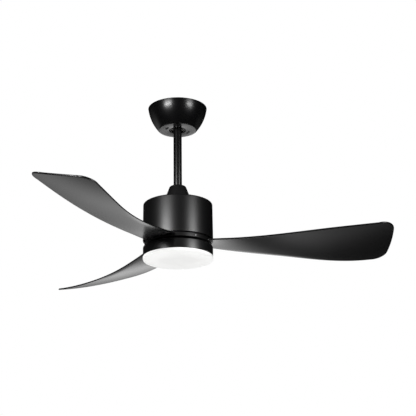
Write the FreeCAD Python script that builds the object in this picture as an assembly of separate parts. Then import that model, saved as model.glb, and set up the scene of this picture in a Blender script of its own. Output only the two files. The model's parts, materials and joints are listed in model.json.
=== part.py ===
import FreeCAD, Part
import math
import os

# Ceiling fan with a round LED light, hung from the ceiling on a short downrod.
# Units are millimetres. The origin is the centre of the ceiling plane, +Z is up,
# and everything hangs below z = 0. The rotor turns about the Z axis.

os.makedirs("parts", exist_ok=True)
V = FreeCAD.Vector
DOWN = V(0, 0, -1)
UP = V(0, 0, 1)

# ---------------------------------------------------------------- driving dimensions

# Ceiling bracket, bent from sheet steel
BRACKET_STEEL = 2.0
BRACKET_LENGTH = 150.0
BRACKET_WIDTH = 44.0
ARM_SPAN = 92.0
ARM_WIDTH = 36.0
SLOT_SPACING = 120.0
SLOT_WIDTH = 5.5
SLOT_LENGTH = 20.0
EAR_WIDTH = 34.0
EAR_REACH = 50.0
FLANGE_STEEL = 2.5

# Hanger ball and its socket
BALL_R = 25.0
BALL_CENTRE_DEPTH = 50.0
BALL_RISE = 16.0
BALL_DROP = 17.0
SOCKET_GAP = 0.3
LINER_WALL = 2.5
LINER_RISE = 4.5
SEAT_WALL = 2.9
SEAT_RISE = 5.0
SEAT_OPENING_R = 22.0
SEAT_ROD_CLEARANCE = 1.3
STOP_PIN_R = 2.0
STOP_PIN_BITE = 3.5
STOP_PIN_CLEARANCE = 0.3
GROOVE_FLOOR_CLEARANCE = 1.7
GROOVE_REACH = 9.0
HANGER_PIN_R = 3.0
HANGER_PIN_LENGTH = 44.0
BALL_SCREW_R = 3.0
BALL_SCREW_LENGTH = 8.0
BALL_SCREW_RISE = 7.0

# Canopy
CANOPY_RIM_R = 92.5
CANOPY_BELLY_R = 81.5
CANOPY_SHOULDER_R = 62.5
CANOPY_FLAT_R = 56.0
CANOPY_HEIGHT = 72.5
CANOPY_BELLY_SHARE = 0.531
CANOPY_SHOULDER_SHARE = 0.952
CANOPY_KNEE_OUT_SHARE = 0.58
CANOPY_KNEE_UP_SHARE = 0.26
CANOPY_CEILING_GAP = 1.0
CANOPY_WALL = 1.5
CANOPY_OPENING_R = 27.0
CANOPY_SCREW_CIRCLE_R = 37.0
CANOPY_SCREW_AZIMUTH = 20.0
CANOPY_SCREW_R = 2.0
CANOPY_KEYHOLE_R = 4.2
CANOPY_KEYHOLE_TURN = 14.0

# Control receiver and terminal block inside the canopy
RECEIVER_LENGTH = 76.0
RECEIVER_WIDTH = 38.0
RECEIVER_HEIGHT = 20.0
TERMINAL_LENGTH = 30.0
TERMINAL_WIDTH = 16.0
TERMINAL_HEIGHT = 14.0
TERMINAL_WAYS = 3
TERMINAL_SCREW_R = 2.0

# Downrod
ROD_R = 13.0
ROD_WALL = 2.0
ROD_TOP_RECESS = 2.0
ROD_FIT = 0.05

# Rod coupling, its pin and its cover
COUPLING_R = 20.0
COUPLING_TOP_RISE = 53.5
COUPLING_FLANGE_R = 40.0
COUPLING_FLANGE_STEEL = 3.0
COUPLING_STOP_RISE = 21.5
ROD_END_GAP = 1.0
COUPLING_PIN_R = 3.5
COUPLING_PIN_RISE = 37.5
COUPLING_PIN_HEAD_R = 5.0
COUPLING_PIN_HEAD = 2.5
COUPLING_PIN_TAIL = 7.0
CLIP_WIRE_R = 0.9
CLIP_HALF_LENGTH = 9.0
CLIP_BEND_R = 2.7
COUPLING_SCREW_R = 3.0
COUPLING_SCREW_RISE = 46.5
COVER_TOP_R = 25.0
COVER_BASE_R = 47.0
COVER_TOP_RISE = 59.0
COVER_WALL = 2.0
COVER_SHOULDER = 5.0
COVER_ROD_CLEARANCE = 0.4
COVER_SEAT_GAP = 0.3

# Motor housing
HOUSING_TOP_DEPTH = 321.5
HOUSING_HEIGHT = 116.9
HOUSING_TOP_R = 106.7
HOUSING_BOTTOM_R = 107.7
HOUSING_WALL = 1.5
HOUSING_EDGE_R = 4.0
HOUSING_SCREWS = 4
HOUSING_SCREW_CIRCLE_R = 31.0
HOUSING_SCREW_R = 2.5
HOUSING_SCREW_AZIMUTH = 45.0

# Motor control board
BOARD_POST_CIRCLE_R = 70.0
BOARD_POST_R = 4.0
BOARD_POSTS = 4
BOARD_INNER_R = 48.0
BOARD_OUTER_R = 88.0
BOARD_THICKNESS = 1.6
BOARD_DROP = 7.0
BOARD_SCREW_R = 1.5
BOARD_PART_AZIMUTH = 45.0
CAPACITOR_R = 5.5
CAPACITOR_GAP = 1.0
CAPACITOR_HEIGHT = 8.0
CHOKE_HALF_WIDTH = 9.0
CHOKE_HEIGHT = 7.0
TRANSISTOR_WIDTH = 10.0
TRANSISTOR_HEIGHT = 3.0
TRANSISTOR_AZIMUTHS = [205.0, 225.0, 245.0, 300.0, 320.0, 340.0]

# Motor: stationary hollow shaft and stator, outer rotor on two ball bearings
SHAFT_R = 12.5
SHAFT_BORE_R = 8.0
SHAFT_SHOULDER_R = 15.0
SHAFT_WINDOW_R = 4.0
SHAFT_WINDOW_DROP = 14.5
BEARING_R = 26.0
BEARING_WIDTH = 15.0
BEARING_FIT = 0.05
BEARING_SEAT_WALL = 4.0
BEARING_SHIELD_DEPTH = 0.8
BEARING_RACE = 3.5
BEARING_END_GAP = 0.3
ROTOR_TOP_DROP = 23.5
ROTOR_R = 92.0
ROTOR_WALL = 6.0
ROTOR_DISC = 4.0
ROTOR_LIP = 3.0
ROTOR_EYE_R = 14.0
ROTOR_SPLIT_DROP = 50.5
ROTOR_SCREWS = 6
ROTOR_SCREW_R = 1.5
ROTOR_SCREW_AZIMUTH = 30.0
ROTOR_SCREW_LENGTH = 40.0
AIR_GAP = 1.0
MAGNETS = 16
MAGNET_THICKNESS = 5.0
MAGNET_SPACE = 2.0
STATOR_HEIGHT = 22.0
STATOR_CENTRE_DROP = 71.5
STATOR_HUB_R = 45.0
STATOR_TEETH = 12
TOOTH_WIDTH = 12.0
POLE_SHOE = 4.0
POLE_SPACE = 8.0
COIL_THICKNESS = 3.5
COIL_END = 7.0
COIL_END_SPACE = 3.0

# Blade carrier
CARRIER_GAP = 1.1
CARRIER_R = 102.5
CARRIER_HEIGHT = 13.0
CARRIER_BORE_R = 45.0
POCKET_CLEARANCE = 0.2
CARRIER_SCREW_CIRCLE_R = 72.0
CARRIER_SCREW_R = 2.5
RIM_SCREW_R = 1.5
RIM_SCREW_HEAD_R = 2.4

# Blades: three alike. u runs out along the blade, w across it, towards the trailing edge.
BLADES = 3
BLADE_1_AZIMUTH = 1.5
BLADE_TIP_R = 656.5
BLADE_THICKNESS = 5.0
BLADE_DISH = 5.0
BLADE_CUT_REACH = 82.0
BLADE_RIM_CLEARANCE = 0.3
TONGUE_INNER_U = 55.0
TONGUE_LEAD_W = -50.0
TONGUE_TRAIL_W = 38.0
TONGUE_THICKNESS = 6.0
TONGUE_BITE = 1.2
LEAD_EDGE = [(60.0, -50.5), (214.0, -73.8), (336.0, -91.1), (459.0, -101.5), (600.0, -102.5)]
TRAIL_EDGE = [(610.0, 98.5), (563.0, 93.0), (459.0, 74.2), (336.0, 53.3), (214.0, 45.5), (60.0, 41.0)]
TIP_LEAD_CORNER = (640.0, -90.5)
TIP_LEAD_END = (652.5, -57.0)
TIP_TRAIL_END = (654.5, 60.0)
TIP_TRAIL_CORNER = (642.0, 90.5)
SAG = 9.0
SAG_U = 300.0
SAG_RATE = 1.9e-4
PITCH = 16.0
PITCH_U = 530.0
PITCH_RATE = 1.0e-4
SWEEP = 19.0
SWEEP_U = 336.0
SWEEP_RATE = 2.45e-4
CHORD_U = 104.0
HALF_CHORD = 49.4
HALF_CHORD_RATE = 0.107
SHEET_MARGIN = 1.3
STATION_US = [40.0, 150.0, 260.0, 370.0, 480.0, 590.0, 700.0]
BLADE_SCREW_SPOTS = [(68.0, -34.0), (68.0, 22.0), (86.0, -6.0)]
BLADE_SCREW_R = 2.0

# Light kit
KIT_GAP = 7.0
KIT_R = 107.0
KIT_HEIGHT = 30.5
KIT_WALL = 1.5
KIT_EDGE_R = 2.5
KIT_EYE_R = 40.0
MOUNT_PLATE_R = 56.0
MOUNT_PLATE_STEEL = 2.5
KIT_SCREWS = 3
KIT_SCREW_CIRCLE_R = 48.0
KIT_SCREW_R = 2.0
KIT_SCREW_AZIMUTH = 90.0
NUT_ACROSS_FLATS = 32.0
NUT_HEIGHT = 5.0
SHAFT_TAIL = 5.0
KIT_POST_CIRCLE_R = 85.0
KIT_POST_R = 4.0
KIT_POST_DROP = 20.5
HEATSINK_R = 98.0
HEATSINK_THICKNESS = 2.0
LED_BOARD_R = 94.0
LED_BOARD_THICKNESS = 1.6
LED_SCREW_R = 1.5
LED_SCREW_AZIMUTH = 30.0
LED_RINGS = [(40.0, 8), (76.0, 16)]
LED_SIZE = 3.5
LED_HEIGHT = 0.8
LEAD_HOLE_R = 5.0
DRIVER_LENGTH = 80.0
DRIVER_WIDTH = 32.0
DRIVER_HEIGHT = 13.0
DRIVER_OFFSET = 56.0

# Lens and its twist fastening
LENS_R = 107.3
LENS_HEIGHT = 9.9
LENS_WALL = 2.2
LENS_EDGE_R = 3.0
LENS_GAP = 0.3
LUGS = 3
LUG_HALF_ANGLE = 7.0
LUG_HEIGHT = 2.0
LUG_DEPTH = 2.7
LUG_CLEARANCE = 0.5
TAB_HALF_ANGLE = 6.0
TAB_HEIGHT = 2.1
RIM_THICKNESS = 2.5

# Fastener heads, as a share of the thread radius, and clearances
HEAD_RATIO = 1.75
HEAD_HEIGHT_RATIO = 1.1
RECESS_RATIO = 0.5
HOLE_CLEARANCE = 0.25

# ---------------------------------------------------------------- heights worked out from them

BALL_Z = -BALL_CENTRE_DEPTH
CANOPY_RIM_Z = -CANOPY_CEILING_GAP
CANOPY_BOTTOM_Z = CANOPY_RIM_Z - CANOPY_HEIGHT
FLANGE_BOTTOM_Z = CANOPY_BOTTOM_Z + CANOPY_WALL
FLANGE_TOP_Z = FLANGE_BOTTOM_Z + FLANGE_STEEL
ROD_TOP_Z = BALL_Z + BALL_RISE - ROD_TOP_RECESS
ROD_BORE_R = ROD_R - ROD_WALL
HOUSING_TOP_Z = -HOUSING_TOP_DEPTH
COUPLING_TOP_Z = HOUSING_TOP_Z + COUPLING_TOP_RISE
COUPLING_STOP_Z = HOUSING_TOP_Z + COUPLING_STOP_RISE
COUPLING_PIN_Z = HOUSING_TOP_Z + COUPLING_PIN_RISE
COUPLING_SCREW_Z = HOUSING_TOP_Z + COUPLING_SCREW_RISE
COVER_TOP_Z = HOUSING_TOP_Z + COVER_TOP_RISE
SHAFT_WINDOW_Z = HOUSING_TOP_Z - SHAFT_WINDOW_DROP
HOUSING_CEILING_Z = HOUSING_TOP_Z - HOUSING_WALL
HOUSING_BOTTOM_Z = HOUSING_TOP_Z - HOUSING_HEIGHT
FLANGE_UNDER_Z = HOUSING_CEILING_Z - COUPLING_FLANGE_STEEL
BOARD_TOP_Z = HOUSING_CEILING_Z - BOARD_DROP
BOARD_BOTTOM_Z = BOARD_TOP_Z - BOARD_THICKNESS
CARRIER_TOP_Z = HOUSING_BOTTOM_Z - CARRIER_GAP
CARRIER_BOTTOM_Z = CARRIER_TOP_Z - CARRIER_HEIGHT
BLADE_Z = CARRIER_TOP_Z - CARRIER_HEIGHT / 2
ROTOR_TOP_Z = HOUSING_TOP_Z - ROTOR_TOP_DROP
ROTOR_BOTTOM_Z = CARRIER_TOP_Z
ROTOR_SPLIT_Z = HOUSING_TOP_Z - ROTOR_SPLIT_DROP
UPPER_BEARING_TOP_Z = ROTOR_TOP_Z - ROTOR_LIP
LOWER_BEARING_TOP_Z = ROTOR_BOTTOM_Z + ROTOR_LIP + BEARING_WIDTH
STATOR_TOP_Z = HOUSING_TOP_Z - STATOR_CENTRE_DROP + STATOR_HEIGHT / 2
STATOR_BOTTOM_Z = STATOR_TOP_Z - STATOR_HEIGHT
ROTOR_BORE_R = ROTOR_R - ROTOR_WALL
STATOR_R = ROTOR_BORE_R - MAGNET_THICKNESS - AIR_GAP
KIT_TOP_Z = CARRIER_BOTTOM_Z - KIT_GAP
KIT_BOTTOM_Z = KIT_TOP_Z - KIT_HEIGHT
KIT_CEILING_Z = KIT_TOP_Z - KIT_WALL
MOUNT_PLATE_UNDER_Z = KIT_CEILING_Z - MOUNT_PLATE_STEEL
SHAFT_BOTTOM_Z = MOUNT_PLATE_UNDER_Z - NUT_HEIGHT - SHAFT_TAIL
KIT_BORE_R = KIT_R - KIT_WALL
HEATSINK_TOP_Z = KIT_CEILING_Z - KIT_POST_DROP
LED_BOARD_TOP_Z = HEATSINK_TOP_Z - HEATSINK_THICKNESS
LED_BOARD_UNDER_Z = LED_BOARD_TOP_Z - LED_BOARD_THICKNESS
LENS_TOP_Z = KIT_BOTTOM_Z - LENS_GAP
LENS_BOTTOM_Z = LENS_TOP_Z - LENS_HEIGHT
LENS_RIM_R = KIT_BORE_R - LUG_DEPTH - LUG_CLEARANCE
TAB_BOTTOM_Z = KIT_BOTTOM_Z + LUG_HEIGHT + LUG_CLEARANCE
TAB_TOP_Z = TAB_BOTTOM_Z + TAB_HEIGHT


# ---------------------------------------------------------------- building blocks

def disc(radius, z_low, z_high):
    """Upright round solid on the fan's axis."""
    return Part.makeCylinder(radius, z_high - z_low, V(0, 0, z_low))


def ring(outer_r, inner_r, z_low, z_high):
    """Disc with a round hole."""
    return disc(outer_r, z_low, z_high).cut(disc(inner_r, z_low, z_high))


def post(x, y, radius, z_low, z_high):
    """Upright round solid away from the axis."""
    return Part.makeCylinder(radius, z_high - z_low, V(x, y, z_low))


def box(x_low, x_high, y_low, y_high, z_low, z_high):
    """Straight-sided block between two corners."""
    return Part.makeBox(x_high - x_low, y_high - y_low, z_high - z_low, V(x_low, y_low, z_low))


def rod_along(start, direction, radius, length):
    """Round bar from a start point along a direction."""
    return Part.makeCylinder(radius, length, start, direction)


def turned(shape, degrees, centre=V(0, 0, 0), axis=UP):
    """Copy of a shape, turned about an axis."""
    copy = shape.copy()
    copy.rotate(centre, axis, degrees)
    return copy


def around(shape, count, first=0.0):
    """Copies of a shape evenly spaced around the fan's axis."""
    return [turned(shape, first + 360.0 * index / count) for index in range(count)]


def polar(radius, degrees):
    """Point of the plan at a radius and an azimuth."""
    angle = math.radians(degrees)
    return radius * math.cos(angle), radius * math.sin(angle)


def line(start, end):
    """Straight edge."""
    return Part.LineSegment(start, end).toShape()


def arc(start, middle, end):
    """Round edge through three points."""
    return Part.Arc(start, middle, end).toShape()


def quarter(start, corner, end):
    """Round edge that replaces a square corner between two points."""
    centre = start + end - corner
    radius = (start - centre).Length
    bisector = (corner - centre).normalize()
    return arc(start, centre + bisector * radius, end)


def spin(edges):
    """Solid of revolution from the edges of half a section."""
    wire = Part.Wire(edges)
    return Part.Face(wire).revolve(V(0, 0, 0), UP, 360.0)


def sector(radius, half_angle, z_low, z_high):
    """Wedge of a disc, centred on +X."""
    wedge = Part.makeCylinder(radius, z_high - z_low, V(0, 0, z_low), UP, 2 * half_angle)
    return turned(wedge, -half_angle)


def screw(seat, direction, thread_r, length):
    """Pan-head screw whose head stands on the seat and whose thread runs along the direction."""
    head_r = thread_r * HEAD_RATIO
    head_height = thread_r * HEAD_HEIGHT_RATIO
    thread = rod_along(seat, direction, thread_r, length)
    head = rod_along(seat, direction * -1, head_r, head_height)
    recess_floor = seat - direction * (head_height * (1 - RECESS_RATIO))
    recess = rod_along(recess_floor, direction * -1, head_r * RECESS_RATIO, head_height)
    return thread.fuse(head).cut(recess)


def set_screw(tip, direction, thread_r, length):
    """Headless screw with a socket in its outer end."""
    body = rod_along(tip, direction, thread_r, length)
    socket_start = tip + direction * (length * RECESS_RATIO)
    return body.cut(rod_along(socket_start, direction, thread_r * RECESS_RATIO, length))


def save(name, shape):
    """One sub-part, in its own file."""
    shape.exportStep(f"parts/{name}.step")


def save_group(name, shapes):
    """Several like pieces that share one sub-part."""
    save(name, Part.makeCompound(shapes))


# ---------------------------------------------------------------- ceiling bracket and canopy

def slot_hole(x, z_low, z_high):
    """Slot along X through the ceiling plate."""
    radius = SLOT_WIDTH / 2
    reach = SLOT_LENGTH / 2 - radius
    middle = box(x - reach, x + reach, -radius, radius, z_low, z_high)
    left = post(x - reach, 0, radius, z_low, z_high)
    return middle.fuse(left).fuse(post(x + reach, 0, radius, z_low, z_high))


def seat_cavity():
    """Room for the liner: round below the ball's centre, straight above it."""
    radius = BALL_R + SOCKET_GAP + LINER_WALL + SOCKET_GAP
    straight = disc(radius, BALL_Z, BALL_Z + SEAT_RISE)
    lower = disc(radius, BALL_Z - radius, BALL_Z)
    return Part.makeSphere(radius, V(0, 0, BALL_Z)).common(lower).fuse(straight)


def hanger_bracket():
    """Ceiling plate, two arms and the flange with the ball's seat, open at the back for the rod."""
    plate_half = BRACKET_LENGTH / 2
    half_width = BRACKET_WIDTH / 2
    arm_x = ARM_SPAN / 2
    plate = box(-plate_half, plate_half, -half_width, half_width, -BRACKET_STEEL, 0)
    ear = box(-EAR_WIDTH / 2, EAR_WIDTH / 2, 0, EAR_REACH, -BRACKET_STEEL, 0)
    flange = box(-arm_x, arm_x, -half_width, half_width, FLANGE_BOTTOM_Z, FLANGE_TOP_Z)
    seat_r = BALL_R + SOCKET_GAP * 2 + LINER_WALL + SEAT_WALL
    bracket = plate.fuse(ear).fuse(flange)
    for side in (-1, 1):
        inner_x = side * (arm_x - BRACKET_STEEL)
        low_x = min(inner_x, side * arm_x)
        high_x = max(inner_x, side * arm_x)
        arm = box(low_x, high_x, -ARM_WIDTH / 2, ARM_WIDTH / 2, FLANGE_BOTTOM_Z, 0)
        bracket = bracket.fuse(arm)
    bracket = bracket.fuse(disc(seat_r, FLANGE_BOTTOM_Z, BALL_Z + SEAT_RISE))
    bracket = bracket.cut(seat_cavity())
    bracket = bracket.cut(disc(SEAT_OPENING_R, FLANGE_BOTTOM_Z, BALL_Z))
    rod_way = ROD_R + SEAT_ROD_CLEARANCE
    bracket = bracket.cut(box(-rod_way, rod_way, 0, seat_r, FLANGE_BOTTOM_Z, BALL_Z + SEAT_RISE))
    for side in (-1, 1):
        bracket = bracket.cut(slot_hole(side * SLOT_SPACING / 2, -BRACKET_STEEL, 0))
        x, y = polar(side * CANOPY_SCREW_CIRCLE_R, CANOPY_SCREW_AZIMUTH)
        bracket = bracket.cut(post(x, y, CANOPY_SCREW_R, FLANGE_BOTTOM_Z, FLANGE_TOP_Z))
    return bracket.cut(stop_pin()).removeSplitter()


def stop_pin():
    """Round pin on the tilt axis that keeps the ball from turning in its seat."""
    seat_r = BALL_R + SOCKET_GAP * 2 + LINER_WALL + SEAT_WALL
    inner = BALL_R - STOP_PIN_BITE
    return rod_along(V(inner, 0, BALL_Z), V(1, 0, 0), STOP_PIN_R, seat_r - inner)


def canopy_block(inset):
    """Solid inside the canopy's outline, moved in by the inset."""
    rim = V(CANOPY_RIM_R - inset, 0, CANOPY_RIM_Z)
    belly = V(CANOPY_BELLY_R - inset, 0, CANOPY_RIM_Z - CANOPY_HEIGHT * CANOPY_BELLY_SHARE + inset / 2)
    shoulder = V(CANOPY_SHOULDER_R - inset, 0, CANOPY_RIM_Z - CANOPY_HEIGHT * CANOPY_SHOULDER_SHARE + inset)
    flat_edge = V(CANOPY_FLAT_R - inset, 0, CANOPY_BOTTOM_Z + inset)
    knee_x = flat_edge.x + (shoulder.x - flat_edge.x) * CANOPY_KNEE_OUT_SHARE
    knee_z = flat_edge.z + (shoulder.z - flat_edge.z) * CANOPY_KNEE_UP_SHARE
    centre = V(0, 0, flat_edge.z)
    top = V(0, 0, rim.z)
    edges = [arc(rim, belly, shoulder), arc(shoulder, V(knee_x, 0, knee_z), flat_edge)]
    edges += [line(flat_edge, centre), line(centre, top), line(top, rim)]
    return spin(edges)


def keyhole():
    """Slot and head hole for one canopy screw, on the +X side of the plan."""
    radius = CANOPY_SCREW_R + HOLE_CLEARANCE
    band = ring(CANOPY_SCREW_CIRCLE_R + radius, CANOPY_SCREW_CIRCLE_R - radius,
                CANOPY_BOTTOM_Z, FLANGE_BOTTOM_Z)
    wedge = sector(CANOPY_RIM_R, CANOPY_KEYHOLE_TURN / 2, CANOPY_BOTTOM_Z, FLANGE_BOTTOM_Z)
    slot = band.common(turned(wedge, CANOPY_KEYHOLE_TURN / 2))
    near = post(CANOPY_SCREW_CIRCLE_R, 0, radius, CANOPY_BOTTOM_Z, FLANGE_BOTTOM_Z)
    x, y = polar(CANOPY_SCREW_CIRCLE_R, CANOPY_KEYHOLE_TURN)
    return slot.fuse(near).fuse(post(x, y, CANOPY_KEYHOLE_R, CANOPY_BOTTOM_Z, FLANGE_BOTTOM_Z))


def canopy():
    """Spun cover under the ceiling, with the opening for the rod and two keyholes."""
    shell = canopy_block(0).cut(canopy_block(CANOPY_WALL))
    shell = shell.cut(disc(CANOPY_OPENING_R, CANOPY_BOTTOM_Z, FLANGE_BOTTOM_Z))
    for hole in around(keyhole(), 2, CANOPY_SCREW_AZIMUTH):
        shell = shell.cut(hole)
    return shell


def canopy_screws():
    """Two screws up through the keyholes into the bracket's flange."""
    seat = V(CANOPY_SCREW_CIRCLE_R, 0, CANOPY_BOTTOM_Z)
    length = CANOPY_WALL + FLANGE_STEEL * 2
    return around(screw(seat, UP, CANOPY_SCREW_R, length), 2, CANOPY_SCREW_AZIMUTH)


def receiver_box():
    """Control receiver under the ceiling plate, between the arms."""
    top = -BRACKET_STEEL
    case = box(-RECEIVER_LENGTH / 2, RECEIVER_LENGTH / 2, -RECEIVER_WIDTH / 2,
               RECEIVER_WIDTH / 2, top - RECEIVER_HEIGHT, top)
    return case.makeFillet(BRACKET_STEEL, [edge for edge in case.Edges if edge.Length == RECEIVER_HEIGHT])


def terminal_place():
    """Middle of the terminal block along Y."""
    return EAR_REACH - TERMINAL_WIDTH / 2 - BRACKET_STEEL


def terminal_screw_xs():
    """Places of the terminal screws along X."""
    pitch = TERMINAL_LENGTH / TERMINAL_WAYS
    return [(way - (TERMINAL_WAYS - 1) / 2) * pitch for way in range(TERMINAL_WAYS)]


def terminal_block():
    """Mains terminal block under the bracket's ear."""
    y = terminal_place()
    top = -BRACKET_STEEL
    bottom = top - TERMINAL_HEIGHT
    block = box(-TERMINAL_LENGTH / 2, TERMINAL_LENGTH / 2, y - TERMINAL_WIDTH / 2,
                y + TERMINAL_WIDTH / 2, bottom, top)
    for x in terminal_screw_xs():
        block = block.cut(post(x, y, TERMINAL_SCREW_R, bottom, top - TERMINAL_HEIGHT / 2))
        wire_start = V(x, y - TERMINAL_WIDTH / 2, top - TERMINAL_HEIGHT / 4)
        block = block.cut(rod_along(wire_start, V(0, 1, 0), TERMINAL_SCREW_R, TERMINAL_WIDTH / 4))
    return block


def terminal_screws():
    """Clamping screws in the terminal block."""
    y = terminal_place()
    bottom = -BRACKET_STEEL - TERMINAL_HEIGHT
    depth = TERMINAL_HEIGHT / 2
    return [set_screw(V(x, y, bottom + depth), DOWN, TERMINAL_SCREW_R, depth) for x in terminal_screw_xs()]


# ---------------------------------------------------------------- ball, liner and downrod

def socket_liner():
    """Nylon cup between the seat and the ball, pierced by the stop pin."""
    centre = V(0, 0, BALL_Z)
    inner_r = BALL_R + SOCKET_GAP
    outer_r = inner_r + LINER_WALL
    top = BALL_Z + LINER_RISE
    zone = disc(outer_r, BALL_Z - outer_r, top)
    liner = Part.makeSphere(outer_r, centre).common(zone)
    liner = liner.cut(Part.makeSphere(inner_r, centre))
    liner = liner.cut(disc(inner_r, BALL_Z, top))
    liner = liner.cut(disc(SEAT_OPENING_R, BALL_Z - outer_r, BALL_Z))
    return liner.cut(rod_along(centre, V(1, 0, 0), STOP_PIN_R + STOP_PIN_CLEARANCE, outer_r))


def hanger_pin():
    """Cross pin that carries the rod in the ball."""
    half = HANGER_PIN_LENGTH / 2
    return rod_along(V(0, -half, BALL_Z), V(0, 1, 0), HANGER_PIN_R, HANGER_PIN_LENGTH)


def ball_set_screw():
    """Screw that clamps the rod in the ball."""
    tip = V(-ROD_R, 0, BALL_Z + BALL_SCREW_RISE)
    return set_screw(tip, V(-1, 0, 0), BALL_SCREW_R, BALL_SCREW_LENGTH)


def hanger_ball():
    """Flattened ball with a groove for the stop pin in the plane of X and Z."""
    ball = Part.makeSphere(BALL_R, V(0, 0, BALL_Z))
    ball = ball.common(disc(BALL_R, BALL_Z - BALL_DROP, BALL_Z + BALL_RISE))
    ball = ball.cut(disc(ROD_R + ROD_FIT, BALL_Z - BALL_R, BALL_Z + BALL_R))
    ball = ball.cut(hanger_pin())
    groove_floor = BALL_R - STOP_PIN_BITE - GROOVE_FLOOR_CLEARANCE
    groove_half = STOP_PIN_R + STOP_PIN_CLEARANCE
    groove = box(groove_floor, BALL_R, -groove_half, groove_half,
                 BALL_Z - GROOVE_REACH, BALL_Z + GROOVE_REACH)
    ball = ball.cut(groove)
    screw_start = V(0, 0, BALL_Z + BALL_SCREW_RISE)
    return ball.cut(rod_along(screw_start, V(-1, 0, 0), BALL_SCREW_R, BALL_R))


def downrod():
    """Tube from the ball down into the coupling, bored for both cross pins."""
    bottom = COUPLING_STOP_Z + ROD_END_GAP
    tube = ring(ROD_R, ROD_BORE_R, bottom, ROD_TOP_Z)
    return tube.cut(hanger_pin()).cut(coupling_pin_bar())


# ---------------------------------------------------------------- coupling

def coupling_pin_bar():
    """Shank of the coupling pin, along X."""
    start = V(-COUPLING_R, 0, COUPLING_PIN_Z)
    return rod_along(start, V(1, 0, 0), COUPLING_PIN_R, 2 * COUPLING_R + COUPLING_PIN_TAIL)


def clip_x():
    """Place of the clip along the pin."""
    return COUPLING_R + COUPLING_PIN_TAIL / 2


def coupling_pin():
    """Headed cross pin that carries the motor on the rod."""
    start = V(-COUPLING_R, 0, COUPLING_PIN_Z)
    head = rod_along(start, V(-1, 0, 0), COUPLING_PIN_HEAD_R, COUPLING_PIN_HEAD)
    pin = coupling_pin_bar().fuse(head)
    reach = COUPLING_PIN_R * 2
    return pin.cut(post(clip_x(), 0, CLIP_WIRE_R, COUPLING_PIN_Z - reach,
                        COUPLING_PIN_Z + reach))


def pin_clip():
    """Spring wire clip through the end of the coupling pin, bent over beside it."""
    x = clip_x()
    low = COUPLING_PIN_Z - CLIP_HALF_LENGTH
    high = COUPLING_PIN_Z + CLIP_HALF_LENGTH
    inner_leg = post(x, 0, CLIP_WIRE_R, low, high)
    outer_leg = post(x, CLIP_BEND_R * 2, CLIP_WIRE_R, low + CLIP_BEND_R, high)
    bend = Part.makeTorus(CLIP_BEND_R, CLIP_WIRE_R, V(x, CLIP_BEND_R, high), V(1, 0, 0))
    reach = CLIP_BEND_R + CLIP_WIRE_R
    top_half = box(x - CLIP_WIRE_R, x + CLIP_WIRE_R, CLIP_BEND_R - reach,
                   CLIP_BEND_R + reach, high, high + reach)
    return inner_leg.fuse(outer_leg).fuse(bend.common(top_half))


def coupling_screws():
    """Two screws that clamp the rod in the coupling."""
    length = COUPLING_R - ROD_R
    tip = V(0, ROD_R, COUPLING_SCREW_Z)
    one = set_screw(tip, V(0, 1, 0), COUPLING_SCREW_R, length)
    return around(one, 2)


def rod_coupling():
    """Collar that joins the rod to the motor shaft and carries the housing on its flange."""
    body = disc(COUPLING_R, FLANGE_UNDER_Z, COUPLING_TOP_Z)
    body = body.fuse(disc(COUPLING_FLANGE_R, FLANGE_UNDER_Z, HOUSING_CEILING_Z))
    body = body.cut(disc(ROD_R + ROD_FIT, COUPLING_STOP_Z, COUPLING_TOP_Z))
    body = body.cut(disc(SHAFT_R, FLANGE_UNDER_Z, COUPLING_STOP_Z))
    body = body.cut(coupling_pin_bar())
    for direction in (-1, 1):
        start = V(0, 0, COUPLING_SCREW_Z)
        body = body.cut(rod_along(start, V(0, direction, 0), COUPLING_SCREW_R, COUPLING_R))
    for hole in around(post(HOUSING_SCREW_CIRCLE_R, 0, HOUSING_SCREW_R, FLANGE_UNDER_Z,
                            HOUSING_CEILING_Z), HOUSING_SCREWS, HOUSING_SCREW_AZIMUTH):
        body = body.cut(hole)
    return body


def cover_block(inset, top_z):
    """Solid inside the coupling cover's outline, moved in by the inset."""
    slope = (COVER_BASE_R - COVER_TOP_R) / COVER_TOP_RISE
    base_z = HOUSING_TOP_Z + COVER_SEAT_GAP
    base = V(COVER_BASE_R - inset, 0, base_z)
    neck_z = COVER_TOP_Z - COVER_SHOULDER
    neck = V(COVER_TOP_R + COVER_SHOULDER * slope - inset, 0, neck_z)
    top_edge = V(COVER_TOP_R - COVER_SHOULDER + COVER_WALL / 2 - inset, 0, top_z)
    blend = V(neck.x - COVER_WALL / 2, 0, top_z - COVER_SHOULDER / 3)
    centre_low = V(0, 0, base_z)
    centre_high = V(0, 0, top_z)
    edges = [line(base, neck), arc(neck, blend, top_edge), line(top_edge, centre_high)]
    edges += [line(centre_high, centre_low), line(centre_low, base)]
    return spin(edges)


def coupling_cover():
    """Cone that hides the coupling and slides up the rod."""
    shell = cover_block(0, COVER_TOP_Z)
    shell = shell.cut(cover_block(COVER_WALL, COVER_TOP_Z - COVER_WALL))
    return shell.cut(disc(ROD_R + COVER_ROD_CLEARANCE, HOUSING_TOP_Z, COVER_TOP_Z))


# ---------------------------------------------------------------- housing and control board

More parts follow.
